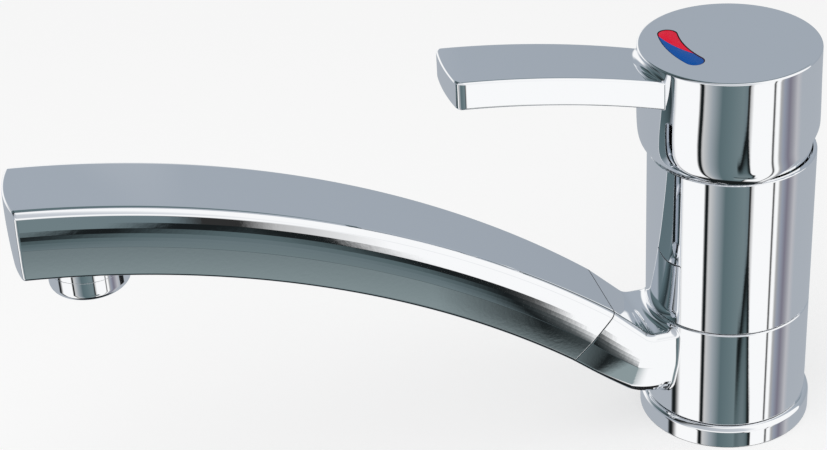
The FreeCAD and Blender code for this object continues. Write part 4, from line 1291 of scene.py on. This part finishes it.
        bar = section(0.0)
        share = np.concatenate([np.linspace(0, 1, self.lever_rows)[:-1], [1 - self.end_ring, 1.0]])
        turn = between(arc.turn(self.lever_start), bowed(bar, float(back[0])), share[:, None])
        inward = 1 - (np.abs(bar[:, 0]) / half) ** 3
        top = np.clip(1 - 2 * bar[:, 1] / self.lever_t, 0, 1)
        ball_r = between(self.fillet_side, self.fillet_top, top * inward)
        rings = [rooted(arc.place(bar[None], turn), ball_r, lambda p: self.wall(barrel, p))]
        for draw, held in zip(inset[1:], back[1:]):
            ring = section(float(draw))
            rings.append(arc.place(ring, bowed(ring, float(held)))[None])
        shell.grid(braced(np.concatenate(rings)))
        fill = shrunk(section(float(inset[-1])), self.end_rings, self.end_near)
        shell.grid(braced(arc.place(fill, bowed(fill, 0.0))))

    def build(self, barrel: Barrel) -> None:
        """Makes the head as one piece.

        Args:
            barrel: Shared levels and radii.
        """
        shell = Shell("head_chrome")
        self.cap(shell, barrel)
        self.lever(shell, barrel)
        self.inlay(barrel, "index_red_enamel", True, RED, "red_enamel", "index_red")
        self.inlay(barrel, "index_blue_enamel", False, BLUE, "blue_enamel", "index_blue")
        seat(shell.build(), Body.LEVER, (CHROME, PAINTED_SHADE), "chrome", "lever_head")


@dataclass(frozen=True)
class Fittings:
    """CAD nodes that stay as they are, and the finish that each one gets."""

    finishes: dict[str, Finish] = field(default_factory=lambda: {
        "tap_body": CHROME, "cartridge_housing": WHITE_PLASTIC, "cartridge_base": WHITE_PLASTIC,
        "cartridge_seals": RUBBER, "fixed_disc": CERAMIC, "cartridge_nut": BRASS,
        "upper_slide_ring": WHITE_PLASTIC, "lower_slide_ring": WHITE_PLASTIC,
        "swivel_o_rings": RUBBER, "base_ring": CHROME, "deck_gasket": RUBBER,
        "under_deck_gasket": RUBBER, "clamp_washer": SATIN, "back_nut": BRASS,
        "spindle_carrier": WHITE_PLASTIC, "carrier_o_ring": RUBBER, "pivot_pin": SATIN,
        "disc_driver": WHITE_PLASTIC, "moving_disc": CERAMIC, "lever_head": CHROME,
        "spindle": BRASS, "index_red": RED, "index_blue": BLUE, "grub_screw": SATIN,
        "swivel_collar": CHROME, "spout_tube": CHROME, "spout_spigot": BRASS,
        "spout_joint_o_ring": RUBBER, "spout_fixing_screw": SATIN, "aerator_housing": CHROME,
        "aerator_insert": DARK_PLASTIC, "aerator_gasket": RUBBER})

    def dress(self) -> None:
        """Gives every CAD node its finish."""
        for name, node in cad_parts.items():
            node.data.materials.clear()
            node.data.materials.append(self.finishes[name].material())
            log.info("%s: dressed in %s", name, self.finishes[name].name)


# Studio

class Along(Enum):
    """The way in which a panel's tone changes."""

    AZIMUTH = 0
    HEIGHT = 1


@dataclass(frozen=True)
class Panel:
    """One part of the surroundings that the chrome mirrors.

    A direction has an azimuth in degrees, 0 ahead of the spout and growing toward +X, and a
    height, the sine of its elevation. A window rises between its first two values and falls
    between its last two. With a drop line the panel hangs lower by that much at each azimuth.
    """

    azimuth: tuple[float, float, float, float]
    height: tuple[float, float, float, float]
    tones: tuple[tuple[float, Tone], ...]
    along: Along = Along.AZIMUTH
    drop: tuple[tuple[float, float], ...] = ()

    @staticmethod
    def share(value: float, along: Along) -> float:
        """A place on a ramp, from 0 to 1."""
        return value / 360 + 0.5 if along is Along.AZIMUTH else value / 2 + 0.5

    def ramp(self, paint: Paint, way: Wire, along: Along,
             stops: tuple[tuple[float, Tone], ...]) -> Wire:
        """A colour ramp over the azimuth or the height."""
        placed = [(self.share(value, along), tone) for value, tone in stops]
        return paint.node("ShaderNodeValToRGB", {"stops": placed}, {"Fac": way})

    def window(self, paint: Paint, way: Wire, along: Along,
               span: tuple[float, float, float, float]) -> Wire:
        """A mask that is 1 inside the span."""
        return self.ramp(paint, way, along, tuple(zip(span, (0.0, 1.0, 1.0, 0.0))))

    def over(self, paint: Paint, azimuth: Wire, height: Wire, below: Wire) -> Wire:
        """Lays the panel over what stands behind it. A height takes half its size on a ramp.

        Args:
            paint: The world's tree.
            azimuth: Azimuth, from 0 to 1.
            height: Height, from 0 to 1.
            below: Colour behind the panel.

        Returns:
            Colour with the panel in front.
        """
        if self.drop:
            height = height + self.ramp(paint, azimuth, Along.AZIMUTH, self.drop) * 0.5
        mask = (self.window(paint, azimuth, Along.AZIMUTH, self.azimuth)
                * self.window(paint, height, Along.HEIGHT, self.height))
        way = height if self.along is Along.HEIGHT else azimuth
        tone = self.ramp(paint, way, self.along, self.tones)
        return paint.mix(mask, below, tone)


def even(tone: Tone) -> tuple[tuple[float, Tone], ...]:
    """Tones of a panel that is the same all over."""
    return (0.0, tone), (180.0, tone)


ALL_ROUND = (-180.0, -179.9, 179.9, 180.0)
PALE_BLUE = (0.41, 0.445, 0.49)
TEAL = (0.105, 0.155, 0.17)
PLUM = (0.2, 0.19, 0.24)
INK = (0.01, 0.013, 0.014)
SILL = ((83.0, 0.038), (87.3, 0.033), (89.4, 0.025), (92.0, 0.009), (95.3, 0.0), (98.3, 0.019),
        (101.3, 0.044), (104.2, 0.064), (107.0, 0.072), (112.0, 0.076))
ROOM = (
    # walls, down to the floor
    Panel(ALL_ROUND, (-0.95, -0.9, -0.42, -0.32), (
        (-180.0, PALE_BLUE), (-14.0, PALE_BLUE), (-11.0, INK), (-6.0, INK), (-3.0, 0.3), (2.0, 1.0),
        (32.5, 1.0), (34.5, INK), (38.0, INK), (40.0, 0.6), (50.0, (0.33, 0.37, 0.4)), (62.0, TEAL),
        (74.0, (0.13, 0.185, 0.2)), (88.0, (0.17, 0.225, 0.24)), (93.0, (0.15, 0.2, 0.22)),
        (93.4, 0.03), (96.0, 0.03), (97.2, 0.6), (99.0, 0.7), (101.0, 1.0), (126.5, 1.0),
        (128.0, 0.12), (129.5, 0.12), (131.0, 1.0), (135.0, 1.0), (138.0, 0.4),
        (143.0, (0.3, 0.33, 0.4)), (151.0, PLUM), (158.0, (0.33, 0.33, 0.37)),
        (164.0, (0.5, 0.5, 0.53)), (172.0, PALE_BLUE))),
    # dark sill below them, mirrored by the spout's side: its line follows the azimuth
    Panel((83.0, 85.0, 105.0, 106.8), (-0.69, -0.68, -0.526, -0.522), (
        (-0.63, (0.16, 0.21, 0.22)), (-0.59, (0.14, 0.185, 0.2)), (-0.562, (0.09, 0.13, 0.14)),
        (-0.542, INK), (-0.524, INK)), Along.HEIGHT, SILL),
    Panel((102.0, 104.0, 105.0, 106.8), (-0.69, -0.68, -0.526, -0.522), even(INK), drop=SILL),
    # shade at the foot of the walls
    Panel((78.0, 80.0, 106.0, 112.0), (-0.81, -0.79, -0.7, -0.69), (
        (-0.764, (0.27, 0.33, 0.34)), (-0.756, (0.2, 0.25, 0.26)), (-0.747, (0.15, 0.19, 0.2)),
        (-0.72, (0.05, 0.07, 0.08))), Along.HEIGHT),
    Panel((97.6, 99.2, 101.0, 102.0), (-0.7605, -0.7585, -0.72, -0.7), even(INK)),
    # bright room above them on the near side, greyer where tops mirror it toward the back
    Panel((15.0, 35.0, 179.9, 180.0), (-0.42, -0.3, 1.0, 1.01), even(1.0)),
    Panel((10.0, 30.0, 96.0, 112.0), (-0.08, 0.1, 0.86, 0.97), (
        (10.0, (0.42, 0.45, 0.49)), (60.0, (0.5, 0.53, 0.57)), (112.0, (0.62, 0.65, 0.69)))),
    Panel((-108.0, -96.0, -50.0, -30.0), (-0.38, -0.25, 0.3, 0.45), even(1.0)),
    # dark part of the room above the front and, higher up, above the far side
    Panel((-55.0, -38.0, 12.0, 28.0), (0.05, 0.2, 1.0, 1.01), (
        (-50.0, (0.3, 0.34, 0.37)), (-28.0, TEAL), (-12.0, (0.04, 0.06, 0.065)), (6.0, INK),
        (25.0, 0.2))),
    Panel((-150.0, -136.0, -45.0, -30.0), (0.58, 0.63, 1.0, 1.01), (
        (-140.0, (0.13, 0.18, 0.2)), (-90.0, TEAL), (-50.0, (0.03, 0.045, 0.05)))),
    Panel(ALL_ROUND, (-1.01, -1.0, -0.93, -0.88), even(INK)),
)
FAR = Panel(ALL_ROUND, (-1.01, -1.0, 1.0, 1.01), (
    (-0.95, INK), (-0.86, (0.3, 0.33, 0.36)), (-0.6, PALE_BLUE), (-0.35, PALE_BLUE),
    (-0.22, (0.34, 0.38, 0.43)), (0.55, (0.375, 0.42, 0.475)), (1.0, (0.5, 0.53, 0.58))),
    Along.HEIGHT)


@dataclass(frozen=True)
class Studio:
    """Pale floor, a soft lamp, the surroundings that the chrome mirrors, and the camera.

    The floor, the lamp and the clipping are in metres, the camera's place is in millimetres. Its
    yaw, pitch and roll are in radians, and the turn of the whole view about +Z is in degrees.
    """

    lens: float = 87.06
    camera_place: tuple[float, float, float] = (420.2, -174.0, 331.0)
    yaw: float = -0.182866
    pitch: float = 0.541785
    roll: float = -0.061580
    turn: float = 67.5
    sensor: float = 36.0
    clip: tuple[float, float] = (0.01, 20.0)
    floor_half: float = 2.0
    floor_tone: float = 0.97
    floor_glow: float = 0.6
    ambient: float = 0.6
    lamp_size: float = 0.9
    lamp_watts: float = 4.0
    lamp_place: tuple[float, float, float] = (0.25, -0.35, 0.9)
    lamp_aim: tuple[float, float, float] = (0.0, -0.06, 0.05)

    def backdrop(self) -> None:
        """Floor at deck level, plain and pale, unseen by mirrors, which see the panels."""
        mesh = bpy.data.meshes.new("floor")
        corners = [(x * self.floor_half, y * self.floor_half, 0)
                   for x, y in ((-1, -1), (1, -1), (1, 1), (-1, 1))]
        mesh.from_pydata(corners, [], [(0, 1, 2, 3)])
        floor = linked("floor", mesh)
        made, paint = painted("pale_floor")
        shade = paint.node("ShaderNodeBsdfDiffuse", {},
                           {"Color": (*[self.floor_tone] * 3, 1.0)})
        glow = paint.node("ShaderNodeEmission", {}, {"Color": (1.0, 1.0, 1.0, 1.0)})
        seen = paint.node("ShaderNodeLightPath", output="Is Camera Ray") * self.floor_glow
        surface = paint.node("ShaderNodeMixShader", {}, {0: seen, 1: shade, 2: glow})
        paint.node("ShaderNodeOutputMaterial", {}, {"Surface": surface})
        mesh.materials.append(made)
        floor.visible_glossy = False

    def surroundings(self) -> None:
        """World: white to the camera, soft grey to matt surfaces, and the room to mirrors.

        The azimuth is atan2(x, -y) and the height is z, both brought to the range 0 to 1.
        """
        world = bpy.data.worlds.new("studio")
        bpy.context.scene.world = world
        world.use_nodes = True
        paint = Paint(world.node_tree)
        where = paint.node("ShaderNodeTexCoord", output="Generated")
        x, y, z = (paint.node("ShaderNodeSeparateXYZ", {}, {0: where}, axis) for axis in "XYZ")
        angle = paint.node("ShaderNodeMath", {"operation": "ARCTAN2"}, {0: x, 1: 0 - y})
        azimuth, height = angle / (2 * math.pi) + 0.5, z * 0.5 + 0.5
        seen = FAR.ramp(paint, height, Along.HEIGHT, FAR.tones)
        for panel in ROOM:
            seen = panel.over(paint, azimuth, height, seen)
        camera = paint.node("ShaderNodeLightPath", output="Is Camera Ray")
        mirror = paint.node("ShaderNodeLightPath", output="Is Glossy Ray")
        lit = paint.mix(mirror, (*[self.ambient] * 3, 1.0), seen)
        final = paint.mix(camera, lit, (1.0, 1.0, 1.0, 1.0))
        glow = paint.node("ShaderNodeBackground", {}, {"Color": final, "Strength": 1.0})
        paint.node("ShaderNodeOutputWorld", {}, {"Surface": glow})

    def lamps(self) -> None:
        """One broad soft lamp over the tap, unseen by mirrors."""
        lamp = bpy.data.lights.new("softbox", "AREA")
        lamp.shape, lamp.energy = "RECTANGLE", self.lamp_watts
        lamp.size = lamp.size_y = self.lamp_size
        made = linked("softbox", lamp)
        made.location = self.lamp_place
        ahead = Vector(self.lamp_aim) - made.location
        made.rotation_euler = ahead.to_track_quat("-Z", "Y").to_euler()
        made.visible_glossy = False

    def camera(self) -> None:
        """Camera at the photograph's place and angle."""
        cy, sy = math.cos(self.yaw), math.sin(self.yaw)
        cp, sp = math.cos(self.pitch), math.sin(self.pitch)
        cr, sr = math.cos(self.roll), math.sin(self.roll)
        right, ahead = Vector((cy, -sy, 0)), Vector((sy * cp, cy * cp, -sp))
        up = right.cross(ahead)
        columns = (right * cr + up * sr, up * cr - right * sr, -ahead)
        turn = Matrix.Rotation(math.radians(self.turn), 3, "Z")
        pose = (turn @ Matrix(columns).transposed()).to_4x4()
        pose.translation = Vector(self.camera_place) * MM
        lens = bpy.data.cameras.new("camera")
        lens.lens, lens.sensor_width, lens.sensor_fit = self.lens, self.sensor, "HORIZONTAL"
        lens.clip_start, lens.clip_end = self.clip
        made = linked("camera", lens)
        made.matrix_world = pose
        bpy.context.scene.camera = made

    def build(self) -> None:
        """Sets up the whole studio."""
        bpy.context.scene.view_settings.view_transform = "Standard"
        self.camera()
        self.backdrop()
        self.surroundings()
        self.lamps()


def main() -> None:
    """Builds the studio, the pieces and their finishes."""
    logging.basicConfig(level=logging.INFO, format="%(name)s %(message)s")
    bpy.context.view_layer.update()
    barrel, spout = Barrel(), Spout()
    Studio().build()
    Fittings().dress()
    BaseRing().build(barrel)
    Elbow().build(barrel, spout)
    spout.build()
    Aerator().build()
    Head().build(barrel)


if __name__ == "__main__":
    main()
